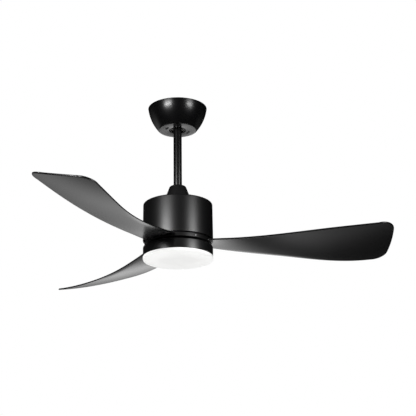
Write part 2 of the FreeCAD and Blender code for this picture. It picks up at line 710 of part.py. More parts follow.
def motor_housing():
    """Stationary drum over the motor, open below, with posts for the control board."""
    top_edge = V(HOUSING_TOP_R - HOUSING_EDGE_R, 0, HOUSING_TOP_Z)
    side_top = V(HOUSING_TOP_R, 0, HOUSING_TOP_Z - HOUSING_EDGE_R)
    side_bottom = V(HOUSING_BOTTOM_R, 0, HOUSING_BOTTOM_Z)
    centre_low = V(0, 0, HOUSING_BOTTOM_Z)
    centre_high = V(0, 0, HOUSING_TOP_Z)
    corner = V(HOUSING_TOP_R, 0, HOUSING_TOP_Z)
    outside = spin([quarter(top_edge, corner, side_top), line(side_top, side_bottom),
                    line(side_bottom, centre_low), line(centre_low, centre_high),
                    line(centre_high, top_edge)])
    inner_bottom = V(HOUSING_BOTTOM_R - HOUSING_WALL, 0, HOUSING_BOTTOM_Z)
    inner_top = V(HOUSING_TOP_R - HOUSING_WALL, 0, HOUSING_CEILING_Z)
    inner_centre = V(0, 0, HOUSING_CEILING_Z)
    inside = spin([line(inner_bottom, inner_top), line(inner_top, inner_centre),
                   line(inner_centre, centre_low), line(centre_low, inner_bottom)])
    drum = outside.cut(inside)
    drum = drum.cut(disc(COUPLING_R + HOLE_CLEARANCE, HOUSING_CEILING_Z, HOUSING_TOP_Z))
    pillar = post(BOARD_POST_CIRCLE_R, 0, BOARD_POST_R, BOARD_TOP_Z, HOUSING_CEILING_Z)
    thread = post(BOARD_POST_CIRCLE_R, 0, BOARD_SCREW_R, BOARD_TOP_Z, HOUSING_CEILING_Z)
    for column in around(pillar.cut(thread), BOARD_POSTS):
        drum = drum.fuse(column)
    hole = post(HOUSING_SCREW_CIRCLE_R, 0, HOUSING_SCREW_R, HOUSING_CEILING_Z, HOUSING_TOP_Z)
    for opening in around(hole, HOUSING_SCREWS, HOUSING_SCREW_AZIMUTH):
        drum = drum.cut(opening)
    return drum


def housing_screws():
    """Screws that hold the housing on the coupling's flange."""
    seat = V(HOUSING_SCREW_CIRCLE_R, 0, HOUSING_TOP_Z)
    length = HOUSING_WALL + COUPLING_FLANGE_STEEL * 2
    return around(screw(seat, DOWN, HOUSING_SCREW_R, length), HOUSING_SCREWS, HOUSING_SCREW_AZIMUTH)


def control_board():
    """Round circuit board that drives the motor."""
    board = ring(BOARD_OUTER_R, BOARD_INNER_R, BOARD_BOTTOM_Z, BOARD_TOP_Z)
    hole = post(BOARD_POST_CIRCLE_R, 0, BOARD_SCREW_R, BOARD_BOTTOM_Z, BOARD_TOP_Z)
    for opening in around(hole, BOARD_POSTS):
        board = board.cut(opening)
    return board


def board_components():
    """Capacitors, a choke and power transistors under the board, between its screws."""
    x, y = polar(BOARD_POST_CIRCLE_R, BOARD_PART_AZIMUTH)
    parts = []
    for offset in (-CAPACITOR_R, CAPACITOR_R + CAPACITOR_GAP):
        parts.append(post(x + offset, y - offset, CAPACITOR_R,
                          BOARD_BOTTOM_Z - CAPACITOR_HEIGHT, BOARD_BOTTOM_Z))
    parts.append(box(-x - CHOKE_HALF_WIDTH, -x + CHOKE_HALF_WIDTH, y - CHOKE_HALF_WIDTH,
                     y + CHOKE_HALF_WIDTH, BOARD_BOTTOM_Z - CHOKE_HEIGHT, BOARD_BOTTOM_Z))
    half = TRANSISTOR_WIDTH / 2
    transistor = box(BOARD_POST_CIRCLE_R - half, BOARD_POST_CIRCLE_R + half, -half, half,
                     BOARD_BOTTOM_Z - TRANSISTOR_HEIGHT, BOARD_BOTTOM_Z)
    for azimuth in TRANSISTOR_AZIMUTHS:
        parts.append(turned(transistor, azimuth))
    return parts


def board_screws():
    """Screws that hold the control board on its posts."""
    seat = V(BOARD_POST_CIRCLE_R, 0, BOARD_BOTTOM_Z)
    return around(screw(seat, UP, BOARD_SCREW_R, BOARD_THICKNESS + BOARD_POST_R), BOARD_POSTS)


# ---------------------------------------------------------------- motor

def motor_shaft():
    """Hollow stationary shaft from the coupling down to the light kit."""
    shaft = disc(SHAFT_R, SHAFT_BOTTOM_Z, COUPLING_STOP_Z)
    shoulder_top = UPPER_BEARING_TOP_Z - BEARING_WIDTH - BEARING_END_GAP
    shoulder_bottom = LOWER_BEARING_TOP_Z + BEARING_END_GAP
    shaft = shaft.fuse(disc(SHAFT_SHOULDER_R, shoulder_bottom, shoulder_top))
    shaft = shaft.cut(disc(SHAFT_BORE_R, SHAFT_BOTTOM_Z, COUPLING_STOP_Z))
    window_start = V(-SHAFT_R, 0, SHAFT_WINDOW_Z)
    return shaft.cut(rod_along(window_start, V(1, 0, 0), SHAFT_WINDOW_R, SHAFT_R * 2))


def bearing(top_z):
    """Shielded ball bearing, one solid."""
    bottom_z = top_z - BEARING_WIDTH
    body = ring(BEARING_R, SHAFT_R + BEARING_FIT, bottom_z, top_z)
    inner = SHAFT_R + BEARING_RACE
    outer = BEARING_R - BEARING_RACE
    body = body.cut(ring(outer, inner, top_z - BEARING_SHIELD_DEPTH, top_z))
    return body.cut(ring(outer, inner, bottom_z, bottom_z + BEARING_SHIELD_DEPTH))


def rotor_screw():
    """One long screw that holds the two halves of the rotor."""
    seat = V(ROTOR_R - ROTOR_WALL / 2, 0, ROTOR_TOP_Z)
    return screw(seat, DOWN, ROTOR_SCREW_R, ROTOR_SCREW_LENGTH)


def rotor_case(disc_low, disc_high, wall_far, seat_far, pocket_start):
    """One half of the rotor: end disc, bearing seat and wall, without its screw holes."""
    wall_low = min(wall_far, disc_low)
    wall_high = max(wall_far, disc_high)
    half = ring(ROTOR_R, ROTOR_BORE_R, wall_low, wall_high)
    half = half.fuse(disc(ROTOR_R, disc_low, disc_high))
    seat_low = min(seat_far, disc_low)
    seat_high = max(seat_far, disc_high)
    half = half.fuse(disc(BEARING_R + BEARING_SEAT_WALL, seat_low, seat_high))
    half = half.cut(disc(BEARING_R, min(pocket_start, seat_far), max(pocket_start, seat_far)))
    half = half.cut(disc(ROTOR_EYE_R, disc_low, disc_high))
    for bolt in around(rotor_screw(), ROTOR_SCREWS, ROTOR_SCREW_AZIMUTH):
        half = half.cut(bolt)
    return half


def rotor_upper_case():
    """Upper half of the rotor."""
    return rotor_case(ROTOR_TOP_Z - ROTOR_DISC, ROTOR_TOP_Z, ROTOR_SPLIT_Z,
                      UPPER_BEARING_TOP_Z - BEARING_WIDTH, UPPER_BEARING_TOP_Z)


def rotor_lower_case():
    """Lower half of the rotor, with threads for the blade carrier's screws."""
    half = rotor_case(ROTOR_BOTTOM_Z, ROTOR_BOTTOM_Z + ROTOR_DISC, ROTOR_SPLIT_Z,
                      LOWER_BEARING_TOP_Z, ROTOR_BOTTOM_Z + ROTOR_LIP)
    for bolt in carrier_screws():
        half = half.cut(bolt)
    return half


def rotor_magnets():
    """Curved magnets inside the rotor's wall."""
    band = ring(ROTOR_BORE_R, ROTOR_BORE_R - MAGNET_THICKNESS, STATOR_BOTTOM_Z, STATOR_TOP_Z)
    half_angle = 180.0 / MAGNETS - math.degrees(MAGNET_SPACE / 2 / ROTOR_BORE_R)
    wedge = sector(ROTOR_R, half_angle, STATOR_BOTTOM_Z, STATOR_TOP_Z)
    return around(band.common(wedge), MAGNETS)


def stator_core():
    """Laminated core: hub, teeth and pole shoes."""
    shoe_r = STATOR_R - POLE_SHOE
    core = ring(STATOR_HUB_R, SHAFT_SHOULDER_R, STATOR_BOTTOM_Z, STATOR_TOP_Z)
    tooth = box(STATOR_HUB_R - POLE_SHOE, shoe_r + POLE_SHOE / 2, -TOOTH_WIDTH / 2,
                TOOTH_WIDTH / 2, STATOR_BOTTOM_Z, STATOR_TOP_Z)
    space = box(shoe_r - POLE_SHOE, STATOR_R + POLE_SHOE, -POLE_SPACE / 2, POLE_SPACE / 2,
                STATOR_BOTTOM_Z, STATOR_TOP_Z)
    shoes = ring(STATOR_R, shoe_r, STATOR_BOTTOM_Z, STATOR_TOP_Z)
    for gap in around(space, STATOR_TEETH, 180.0 / STATOR_TEETH):
        shoes = shoes.cut(gap)
    for finger in around(tooth, STATOR_TEETH):
        core = core.fuse(finger)
    return core.fuse(shoes)


def stator_windings():
    """One copper coil around each tooth."""
    inner_x = STATOR_HUB_R + COIL_END_SPACE
    outer_x = STATOR_R - POLE_SHOE - COIL_END_SPACE
    half = TOOTH_WIDTH / 2
    outside = box(inner_x, outer_x, -half - COIL_THICKNESS, half + COIL_THICKNESS,
                  STATOR_BOTTOM_Z - COIL_END, STATOR_TOP_Z + COIL_END)
    tooth = box(inner_x, outer_x, -half, half, STATOR_BOTTOM_Z, STATOR_TOP_Z)
    return around(outside.cut(tooth), STATOR_TEETH)


# ---------------------------------------------------------------- blade carrier and blades

def blade_azimuth(index):
    """Azimuth of one blade."""
    return BLADE_1_AZIMUTH + 360.0 * index / BLADES


def between_azimuth():
    """Azimuth midway between the first two blades."""
    return BLADE_1_AZIMUTH + 180.0 / BLADES


def blade_screw(u, w):
    """One screw from below through the carrier and the blade's tongue."""
    length = CARRIER_HEIGHT - ROTOR_LIP
    return screw(V(u, w, CARRIER_BOTTOM_Z), UP, BLADE_SCREW_R, length)


def blade_screws():
    """Three screws for each blade."""
    screws = []
    for index in range(BLADES):
        for u, w in BLADE_SCREW_SPOTS:
            screws.append(turned(blade_screw(u, w), blade_azimuth(index)))
    return screws


def carrier_screws():
    """Screws that hold the carrier on the rotor, midway between the blades."""
    seat = V(CARRIER_SCREW_CIRCLE_R, 0, CARRIER_BOTTOM_Z)
    length = CARRIER_HEIGHT + ROTOR_DISC
    return around(screw(seat, UP, CARRIER_SCREW_R, length), BLADES, between_azimuth())


def rim_screws():
    """Small balance screws in the rim, midway between the blades."""
    start = V(CARRIER_R, 0, BLADE_Z)
    thread = rod_along(start, V(-1, 0, 0), RIM_SCREW_R, CARRIER_HEIGHT - ROTOR_LIP)
    head = rod_along(start, V(1, 0, 0), RIM_SCREW_HEAD_R, RIM_SCREW_R)
    recess = rod_along(start + V(RIM_SCREW_R / 2, 0, 0), V(1, 0, 0), RIM_SCREW_R * RECESS_RATIO,
                       RIM_SCREW_R)
    return around(thread.fuse(head).cut(recess), BLADES, between_azimuth())


def blade_carrier():
    """Cast disc on the rotor with a pocket for each blade's tongue."""
    carrier = ring(CARRIER_R, CARRIER_BORE_R, CARRIER_BOTTOM_Z, CARRIER_TOP_Z)
    half = TONGUE_THICKNESS / 2 + POCKET_CLEARANCE
    pocket = box(TONGUE_INNER_U - POCKET_CLEARANCE, CARRIER_R, TONGUE_LEAD_W - POCKET_CLEARANCE,
                 TONGUE_TRAIL_W + POCKET_CLEARANCE, BLADE_Z - half, BLADE_Z + half)
    for index in range(BLADES):
        carrier = carrier.cut(turned(pocket, blade_azimuth(index)))
    for bolt in blade_screws() + carrier_screws() + rim_screws():
        carrier = carrier.cut(bolt)
    return carrier


def blade_section(u):
    """Closed outline of the blade's sheet across one station, wider than the blade."""
    half = (HALF_CHORD + HALF_CHORD_RATE * (u - CHORD_U)) * SHEET_MARGIN
    pitch = math.radians(PITCH - PITCH_RATE * (u - PITCH_U) ** 2)
    middle_w = -SWEEP + SWEEP_RATE * (u - SWEEP_U) ** 2
    middle_z = BLADE_Z - SAG + SAG_RATE * (u - SAG_U) ** 2
    dish = BLADE_DISH * (1 - ((BLADE_TIP_R - u) / (BLADE_TIP_R - CHORD_U)) ** 2)
    edge_rise = dish * (SHEET_MARGIN ** 2 - 1)
    half_thickness = BLADE_THICKNESS / 2

    def place(across, rise):
        w = middle_w + across * math.cos(pitch) + rise * math.sin(pitch)
        z = middle_z - across * math.sin(pitch) + rise * math.cos(pitch)
        return V(u, w, z)

    lower_lead = place(-half, edge_rise - half_thickness)
    lower_trail = place(half, edge_rise - half_thickness)
    upper_lead = place(-half, edge_rise + half_thickness)
    upper_trail = place(half, edge_rise + half_thickness)
    lower_middle = place(0, -dish - half_thickness)
    upper_middle = place(0, -dish + half_thickness)
    return Part.Wire([arc(lower_lead, lower_middle, lower_trail), line(lower_trail, upper_trail),
                      arc(upper_trail, upper_middle, upper_lead), line(upper_lead, lower_lead)])


def curve(points):
    """Smooth edge through points of the plan."""
    spline = Part.BSplineCurve()
    spline.interpolate([V(u, w, 0) for u, w in points])
    return spline.toShape()


def blade_plan():
    """Upright prism of the blade's outline in plan."""
    middle_w = (TIP_LEAD_END[1] + TIP_TRAIL_END[1]) / 2
    lead_end = V(*LEAD_EDGE[-1], 0)
    trail_end = V(*TRAIL_EDGE[0], 0)
    lead_tip = V(*TIP_LEAD_END, 0)
    trail_tip = V(*TIP_TRAIL_END, 0)
    edges = [curve(LEAD_EDGE), arc(lead_end, V(*TIP_LEAD_CORNER, 0), lead_tip)]
    edges.append(arc(lead_tip, V(BLADE_TIP_R, middle_w, 0), trail_tip))
    edges.append(arc(trail_tip, V(*TIP_TRAIL_CORNER, 0), trail_end))
    edges.append(curve(TRAIL_EDGE))
    edges.append(line(V(*TRAIL_EDGE[-1], 0), V(*LEAD_EDGE[0], 0)))
    outline = Part.Face(Part.Wire(edges))
    outline.translate(V(0, 0, BLADE_Z - BLADE_CUT_REACH))
    return outline.extrude(V(0, 0, 2 * BLADE_CUT_REACH))


def blade():
    """One blade on the +X side: twisted sheet, cut to its outline, with a flat tongue at the root."""
    sheet = Part.makeLoft([blade_section(u) for u in STATION_US], True, False)
    body = sheet.common(blade_plan())
    body = body.cut(disc(CARRIER_R + BLADE_RIM_CLEARANCE, BLADE_Z - CARRIER_R, BLADE_Z + CARRIER_R))
    half = TONGUE_THICKNESS / 2
    tongue_end_u = CARRIER_R + BLADE_RIM_CLEARANCE + TONGUE_BITE
    tongue = box(TONGUE_INNER_U, tongue_end_u, TONGUE_LEAD_W, TONGUE_TRAIL_W,
                 BLADE_Z - half, BLADE_Z + half)
    keep = disc(CARRIER_R + BLADE_RIM_CLEARANCE + TONGUE_BITE, BLADE_Z - half, BLADE_Z + half)
    body = body.fuse(tongue.common(keep))
    for u, w in BLADE_SCREW_SPOTS:
        body = body.cut(blade_screw(u, w))
    return body


# ---------------------------------------------------------------- light kit

def kit_mount_plate():
    """Steel plate on the shaft that carries the light."""
    plate = ring(MOUNT_PLATE_R, SHAFT_R, MOUNT_PLATE_UNDER_Z, KIT_CEILING_Z)
    for bolt in kit_screws():
        plate = plate.cut(bolt)
    return plate


def hex_nut(z_low):
    """Nut on the shaft's end."""
    corner_r = NUT_ACROSS_FLATS / math.sqrt(3)
    corners = [V(*polar(corner_r, 60.0 * index), z_low) for index in range(7)]
    block = Part.Face(Part.makePolygon(corners)).extrude(V(0, 0, NUT_HEIGHT))
    return block.cut(disc(SHAFT_R, z_low, z_low + NUT_HEIGHT))


def shaft_nuts():
    """One nut above the mount plate and one below."""
    return [hex_nut(KIT_CEILING_Z), hex_nut(MOUNT_PLATE_UNDER_Z - NUT_HEIGHT)]


def kit_screws():
    """Screws that hold the light's housing on the mount plate."""
    seat = V(KIT_SCREW_CIRCLE_R, 0, MOUNT_PLATE_UNDER_Z)
    return around(screw(seat, UP, KIT_SCREW_R, MOUNT_PLATE_STEEL + KIT_WALL), KIT_SCREWS, KIT_SCREW_AZIMUTH)


def led_screws():
    """Screws through the LED board and heatsink into the housing's posts."""
    seat = V(KIT_POST_CIRCLE_R, 0, LED_BOARD_UNDER_Z)
    length = LED_BOARD_THICKNESS + HEATSINK_THICKNESS + KIT_POST_R * 2
    return around(screw(seat, UP, LED_SCREW_R, length), KIT_SCREWS, LED_SCREW_AZIMUTH)


def light_housing():
    """Shallow pan with posts for the heatsink and lugs for the lens."""
    top_edge = V(KIT_R - KIT_EDGE_R, 0, KIT_TOP_Z)
    side_top = V(KIT_R, 0, KIT_TOP_Z - KIT_EDGE_R)
    side_bottom = V(KIT_R, 0, KIT_BOTTOM_Z)
    centre_low = V(0, 0, KIT_BOTTOM_Z)
    centre_high = V(0, 0, KIT_TOP_Z)
    pan = spin([quarter(top_edge, V(KIT_R, 0, KIT_TOP_Z), side_top), line(side_top, side_bottom),
                line(side_bottom, centre_low), line(centre_low, centre_high),
                line(centre_high, top_edge)])
    pan = pan.cut(disc(KIT_BORE_R, KIT_BOTTOM_Z, KIT_CEILING_Z))
    pan = pan.cut(disc(KIT_EYE_R, KIT_CEILING_Z, KIT_TOP_Z))
    lug_band = ring(KIT_BORE_R + KIT_WALL / 2, KIT_BORE_R - LUG_DEPTH, KIT_BOTTOM_Z,
                    KIT_BOTTOM_Z + LUG_HEIGHT)
    lug = lug_band.common(sector(KIT_R, LUG_HALF_ANGLE, KIT_BOTTOM_Z, KIT_BOTTOM_Z + LUG_HEIGHT))
    for hook in around(lug, LUGS):
        pan = pan.fuse(hook)
    pillar = post(KIT_POST_CIRCLE_R, 0, KIT_POST_R, HEATSINK_TOP_Z, KIT_CEILING_Z)
    for column in around(pillar, KIT_SCREWS, LED_SCREW_AZIMUTH):
        pan = pan.fuse(column)
    for bolt in led_screws() + kit_screws():
        pan = pan.cut(bolt)
    return pan


def led_heatsink():
    """Aluminium plate behind the LED board."""
    plate = ring(HEATSINK_R, LEAD_HOLE_R, LED_BOARD_TOP_Z, HEATSINK_TOP_Z)
    for bolt in led_screws():
        plate = plate.cut(bolt)
    return plate


def led_board():
    """Round LED board."""
    board = ring(LED_BOARD_R, LEAD_HOLE_R, LED_BOARD_UNDER_Z, LED_BOARD_TOP_Z)
    for bolt in led_screws():
        board = board.cut(bolt)
    return board


def led_chips():
    """LED chips in two rings, facing down."""
    chips = []
    for radius, count in LED_RINGS:
        half = LED_SIZE / 2
        chip = box(radius - half, radius + half, -half, half,
                   LED_BOARD_UNDER_Z - LED_HEIGHT, LED_BOARD_UNDER_Z)
        chips += around(chip, count)
    return chips


def led_driver():
    """Driver for the LEDs, on the heatsink."""
    case = box(-DRIVER_LENGTH / 2, DRIVER_LENGTH / 2, DRIVER_OFFSET - DRIVER_WIDTH / 2,
               DRIVER_OFFSET + DRIVER_WIDTH / 2, HEATSINK_TOP_Z, HEATSINK_TOP_Z + DRIVER_HEIGHT)
    return case.makeFillet(KIT_WALL, [edge for edge in case.Edges if edge.Length == DRIVER_HEIGHT])


def lens():
    """Opal cover: a shallow dish with a rim and tabs that twist over the housing's lugs."""
    top = V(LENS_R, 0, LENS_TOP_Z)
    edge_start = V(LENS_R, 0, LENS_BOTTOM_Z + LENS_EDGE_R)
    edge_end = V(LENS_R - LENS_EDGE_R, 0, LENS_BOTTOM_Z)
    centre_low = V(0, 0, LENS_BOTTOM_Z)
    centre_high = V(0, 0, LENS_TOP_Z)
    dish = spin([line(top, edge_start), quarter(edge_start, V(LENS_R, 0, LENS_BOTTOM_Z), edge_end),
                 line(edge_end, centre_low), line(centre_low, centre_high), line(centre_high, top)])
    floor_z = LENS_BOTTOM_Z + LENS_WALL
    dish = dish.cut(disc(LENS_R - LENS_WALL, floor_z, LENS_TOP_Z))
    dish = dish.fuse(ring(LENS_RIM_R, LENS_RIM_R - RIM_THICKNESS, floor_z, TAB_TOP_Z))
    tab_band = ring(KIT_BORE_R - LUG_CLEARANCE, LENS_RIM_R - RIM_THICKNESS / 2, TAB_BOTTOM_Z, TAB_TOP_Z)
    tab = tab_band.common(sector(KIT_R, TAB_HALF_ANGLE, TAB_BOTTOM_Z, TAB_TOP_Z))
    for hook in around(tab, LUGS):
        dish = dish.fuse(hook)
    return dish


# ---------------------------------------------------------------- all sub-parts

save("hanger_bracket", hanger_bracket())
save("stop_pin", stop_pin())
save("canopy", canopy())
save_group("canopy_screws", canopy_screws())
save("receiver_box", receiver_box())
save("terminal_block", terminal_block())
save_group("terminal_screws", terminal_screws())

save("socket_liner", socket_liner())

save("hanger_ball", hanger_ball())
save("hanger_pin", hanger_pin())
save("ball_set_screw", ball_set_screw())
save("downrod", downrod())
save("rod_coupling", rod_coupling())
save("coupling_pin", coupling_pin())
save("pin_clip", pin_clip())
save_group("coupling_screws", coupling_screws())
save("motor_housing", motor_housing())
save_group("housing_screws", housing_screws())
save("control_board", control_board())
save_group("board_components", board_components())
save_group("board_screws", board_screws())
save("motor_shaft", motor_shaft())
save("stator_core", stator_core())
save_group("stator_windings", stator_windings())
save("kit_mount_plate", kit_mount_plate())
save_group("shaft_nuts", shaft_nuts())
save("light_housing", light_housing())
save_group("kit_screws", kit_screws())
save("led_heatsink", led_heatsink())
save("led_board", led_board())
save_group("led_chips", led_chips())
save_group("led_screws", led_screws())
save("led_driver", led_driver())

save("coupling_cover", coupling_cover())

save("rotor_upper_case", rotor_upper_case())
save("rotor_lower_case", rotor_lower_case())
save_group("rotor_magnets", rotor_magnets())
save("upper_bearing", bearing(UPPER_BEARING_TOP_Z))
save("lower_bearing", bearing(LOWER_BEARING_TOP_Z))
save_group("rotor_case_screws", around(rotor_screw(), ROTOR_SCREWS, ROTOR_SCREW_AZIMUTH))
save("blade_carrier", blade_carrier())
save_group("carrier_screws", carrier_screws())
save_group("blade_screws", blade_screws())
save_group("rim_screws", rim_screws())
for blade_index in range(BLADES):
    save(f"blade_{blade_index + 1}", turned(blade(), blade_azimuth(blade_index)))

save("lens", lens())
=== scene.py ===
import json
import math

import bmesh
import bpy
import numpy as np
from bpy.props import FloatProperty, FloatVectorProperty, IntProperty, PointerProperty
from mathutils import Matrix, Vector


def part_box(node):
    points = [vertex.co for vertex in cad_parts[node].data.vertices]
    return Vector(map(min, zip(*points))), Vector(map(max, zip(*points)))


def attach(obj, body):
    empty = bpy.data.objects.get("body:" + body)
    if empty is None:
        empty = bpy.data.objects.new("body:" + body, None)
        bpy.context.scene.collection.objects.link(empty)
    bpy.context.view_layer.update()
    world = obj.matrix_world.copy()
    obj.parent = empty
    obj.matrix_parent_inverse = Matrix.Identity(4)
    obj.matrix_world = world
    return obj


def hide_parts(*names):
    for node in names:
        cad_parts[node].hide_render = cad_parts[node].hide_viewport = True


bl_info = {
    "name": "Ceiling fan with light",
    "version": (1, 0, 0),
    "blender": (4, 5, 0),
    "location": "View3D > Sidebar > Ceiling Fan",
    "description": "Builds the visible pieces and finishes of a downrod ceiling fan on its frame",
    "category": "Object",
}

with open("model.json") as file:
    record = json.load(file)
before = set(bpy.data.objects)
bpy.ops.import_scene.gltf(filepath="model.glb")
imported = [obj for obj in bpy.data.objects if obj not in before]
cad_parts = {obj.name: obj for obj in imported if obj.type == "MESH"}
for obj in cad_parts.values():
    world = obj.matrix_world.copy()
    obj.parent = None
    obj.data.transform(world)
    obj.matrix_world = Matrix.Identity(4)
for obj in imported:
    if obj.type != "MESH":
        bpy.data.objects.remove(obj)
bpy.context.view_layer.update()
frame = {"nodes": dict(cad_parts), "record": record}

MM = 0.001
UP = Vector((0, 0, 1))

# The three blades: u runs out from the axis, w across the blade towards its trailing edge.
LEAD_EDGE = ((0.060, -0.0505), (0.214, -0.0738), (0.336, -0.0911), (0.459, -0.1015), (0.600, -0.1025))
LEAD_CORNER = ((0.600, -0.1025), (0.640, -0.0905), (0.6525, -0.057))
TRAIL_EDGE = ((0.060, 0.041), (0.214, 0.0455), (0.336, 0.0533), (0.459, 0.0742), (0.563, 0.093),
              (0.610, 0.0985))
TRAIL_CORNER = ((0.610, 0.0985), (0.642, 0.0905), (0.6545, 0.060))
BLADE_TIP_U = 0.6565
BLADE_ROOT_U = 0.104
BLADE_WINDOW = ((0.0548, -0.0502), (0.12, -0.0502), (0.12, 0.0382), (0.0548, 0.0382))
BLADE_TONGUE = ((0.055, -0.050), (0.0895, -0.050), (0.1015, -0.012), (0.1015, 0.010), (0.0945, 0.038),
                (0.055, 0.038))
WINDOW_HALF_HEIGHT = 3.2 * MM
TONGUE_HALF_HEIGHT = 3.0 * MM
BLADE_GAP = 0.3 * MM
PITCH, PITCH_U, PITCH_RATE = 16.0, 0.530, 100.0
SWEEP, SWEEP_U, SWEEP_RATE = 0.019, 0.336, 0.245
SAG, SAG_U, SAG_RATE = 0.0090, 0.300, 0.19
HALF_CHORD, HALF_CHORD_RATE = 0.0494, 0.107
ROOT_LEAD_W, ROOT_TRAIL_W = 0.0545, 0.0424
RELIEF_REACH, RELIEF_U, RELIEF_SPAN = 0.018, 0.310, 0.130

# The canopy's outline, as shares of its height and of the step from shoulder to flat.
BELLY_SHARE, SHOULDER_SHARE = 0.531, 0.952
KNEE_OUT_SHARE, KNEE_UP_SHARE = 0.58, 0.26
KEYHOLE_HALF_WIDTH, KEYHOLE_RADIUS, KEYHOLE_TURN = 2.25 * MM, 4.2 * MM, math.radians(14)
KEYHOLE_DEPTH = 3.2 * MM

# Screws: head radius, head height, thread radius and thread length.
CANOPY_SCREW = (3.5 * MM, 2.2 * MM, 2.0 * MM, 6.5 * MM)
RIM_SCREW = (2.4 * MM, 1.5 * MM, 1.5 * MM, 9.0 * MM)

ROD_WALL = 2.0 * MM
COVER_WALL, COVER_BORE, COVER_TOP_RADIUS = 2.0 * MM, 13.4 * MM, 25.0 * MM
HOUSING_WALL, HOUSING_DRAFT, HOUSING_BORE = 1.5 * MM, 1.0 * MM, 20.25 * MM
HOUSING_POST_CIRCLE, HOUSING_POST_DROP = 70.0 * MM, 8.5 * MM
CARRIER_BORE, CARRIER_EDGE = 45.0 * MM, 0.8 * MM
KIT_WALL, KIT_BORE = 1.5 * MM, 40.0 * MM
KIT_POST_CIRCLE, KIT_POST_DROP = 85.0 * MM, 22.0 * MM
POST_RADIUS = 4.0 * MM
LUG_DEPTH, LUG_HALF_ANGLE, LUG_LIFT, LUG_TOP = 2.7 * MM, math.radians(7), 0.05 * MM, 2.0 * MM
LENS_WALL, LENS_SHOULDER, LENS_LIP_EDGE = 2.2 * MM, 9.9 * MM, 0.3 * MM
LENS_RIM_OUTER, LENS_RIM_INNER = 101.8 * MM, 99.3 * MM
TAB_INNER, TAB_OUTER, TAB_HALF_ANGLE, TAB_HEIGHT = 100.8 * MM, 105.0 * MM, math.radians(6), 2.1 * MM


# ---------------------------------------------------------------- sizes and colours a user can change

class FanSizes(bpy.types.PropertyGroup):
    """Edge and surface sizes of the visible pieces"""

    segments: IntProperty(
        name="Round segments", description="Facets around each turned piece", default=160, min=48)
    canopy_wall: FloatProperty(
        name="Canopy wall", description="Thickness of the canopy's sheet",
        default=1.5 * MM, unit="LENGTH")
    canopy_belly_radius: FloatProperty(
        name="Canopy belly radius", description="Canopy radius about half way down",
        default=81.5 * MM, unit="LENGTH")
    canopy_shoulder_radius: FloatProperty(
        name="Canopy shoulder radius", description="Canopy radius just above its flat bottom",
        default=62.5 * MM, unit="LENGTH")
    canopy_flat_radius: FloatProperty(
        name="Canopy flat radius", description="Radius of the canopy's flat bottom",
        default=56.0 * MM, unit="LENGTH")
    canopy_opening_radius: FloatProperty(
        name="Canopy opening radius", description="Radius of the opening around the rod",
        default=27.0 * MM, unit="LENGTH")
    housing_edge: FloatProperty(
        name="Housing edge radius", description="Rounding of the motor housing's top edge",
        default=4.0 * MM, unit="LENGTH")
    sheet_edge: FloatProperty(
        name="Sheet edge radius", description="Small rounding of cut and folded metal edges",
        default=0.4 * MM, unit="LENGTH")
    cover_shoulder: FloatProperty(
        name="Cover shoulder", description="Rounding at the top of the coupling cover",
        default=5.0 * MM, unit="LENGTH")
    kit_edge: FloatProperty(
        name="Light housing edge radius", description="Rounding of the light housing's top edge",
        default=2.5 * MM, unit="LENGTH")
    lens_edge: FloatProperty(
        name="Lens edge radius", description="Rounding of the lens's lower edge",
        default=3.0 * MM, unit="LENGTH")
    blade_thickness: FloatProperty(
        name="Blade thickness", description="Thickness of a blade",
        default=5.0 * MM, unit="LENGTH")
    blade_edge: FloatProperty(
        name="Blade edge radius", description="Rounding along a blade's edges",
        default=1.6 * MM, unit="LENGTH")
    blade_dish: FloatProperty(
        name="Blade dish", description="Drop of a blade's middle below its two edges near the tip",
        default=5.0 * MM, unit="LENGTH")
    blade_relief: FloatProperty(
        name="Trailing edge relief", description="How far the underside rises towards the trailing edge",
        default=2.2 * MM, unit="LENGTH")
    blade_azimuth: FloatProperty(
        name="First blade azimuth", description="Direction of the first blade from +X",
        default=math.radians(1.5), subtype="ANGLE", unit="ROTATION")


class FanColours(bpy.types.PropertyGroup):
    """Base colours of the finishes"""

    black_paint: FloatVectorProperty(
        name="Black paint", description="Painted metal", subtype="COLOR",
        default=(0.0028, 0.0028, 0.0030), min=0, max=1)
    black_plastic: FloatVectorProperty(
        name="Black plastic", description="Moulded blades", subtype="COLOR",
        default=(0.0040, 0.0040, 0.0042), min=0, max=1)
    opal: FloatVectorProperty(
        name="Opal", description="Lens of the light", subtype="COLOR",
        default=(0.88, 0.88, 0.87), min=0, max=1)
    zinc: FloatVectorProperty(
        name="Zinc", description="Plated sheet steel", subtype="COLOR",
        default=(0.62, 0.63, 0.64), min=0, max=1)


class StageSettings(bpy.types.PropertyGroup):
    """Camera and floor"""

    camera_distance: FloatProperty(
        name="Camera distance", description="From the camera to the middle of the blades' roots",
        default=3.575, unit="LENGTH")
    camera_elevation: FloatProperty(
        name="Camera elevation", description="Negative below the fan, looking up",
        default=math.radians(-17.05), subtype="ANGLE", unit="ROTATION")
    camera_roll: FloatProperty(
        name="Camera roll", description="Turn of the camera about its own axis",
        default=math.radians(-0.2), subtype="ANGLE", unit="ROTATION")
    lens: FloatProperty(
        name="Focal length", description="Camera lens in millimetres", default=101.2)
    shift_x: FloatProperty(
        name="Shift X", description="Sideways shift of the frame", default=0.0722)
    shift_y: FloatProperty(
        name="Shift Y", description="Upward shift of the frame", default=0.0853)
    room_height: FloatProperty(
        name="Room height", description="From the floor to the ceiling plane",
        default=2.5, unit="LENGTH")


# ---------------------------------------------------------------- outlines

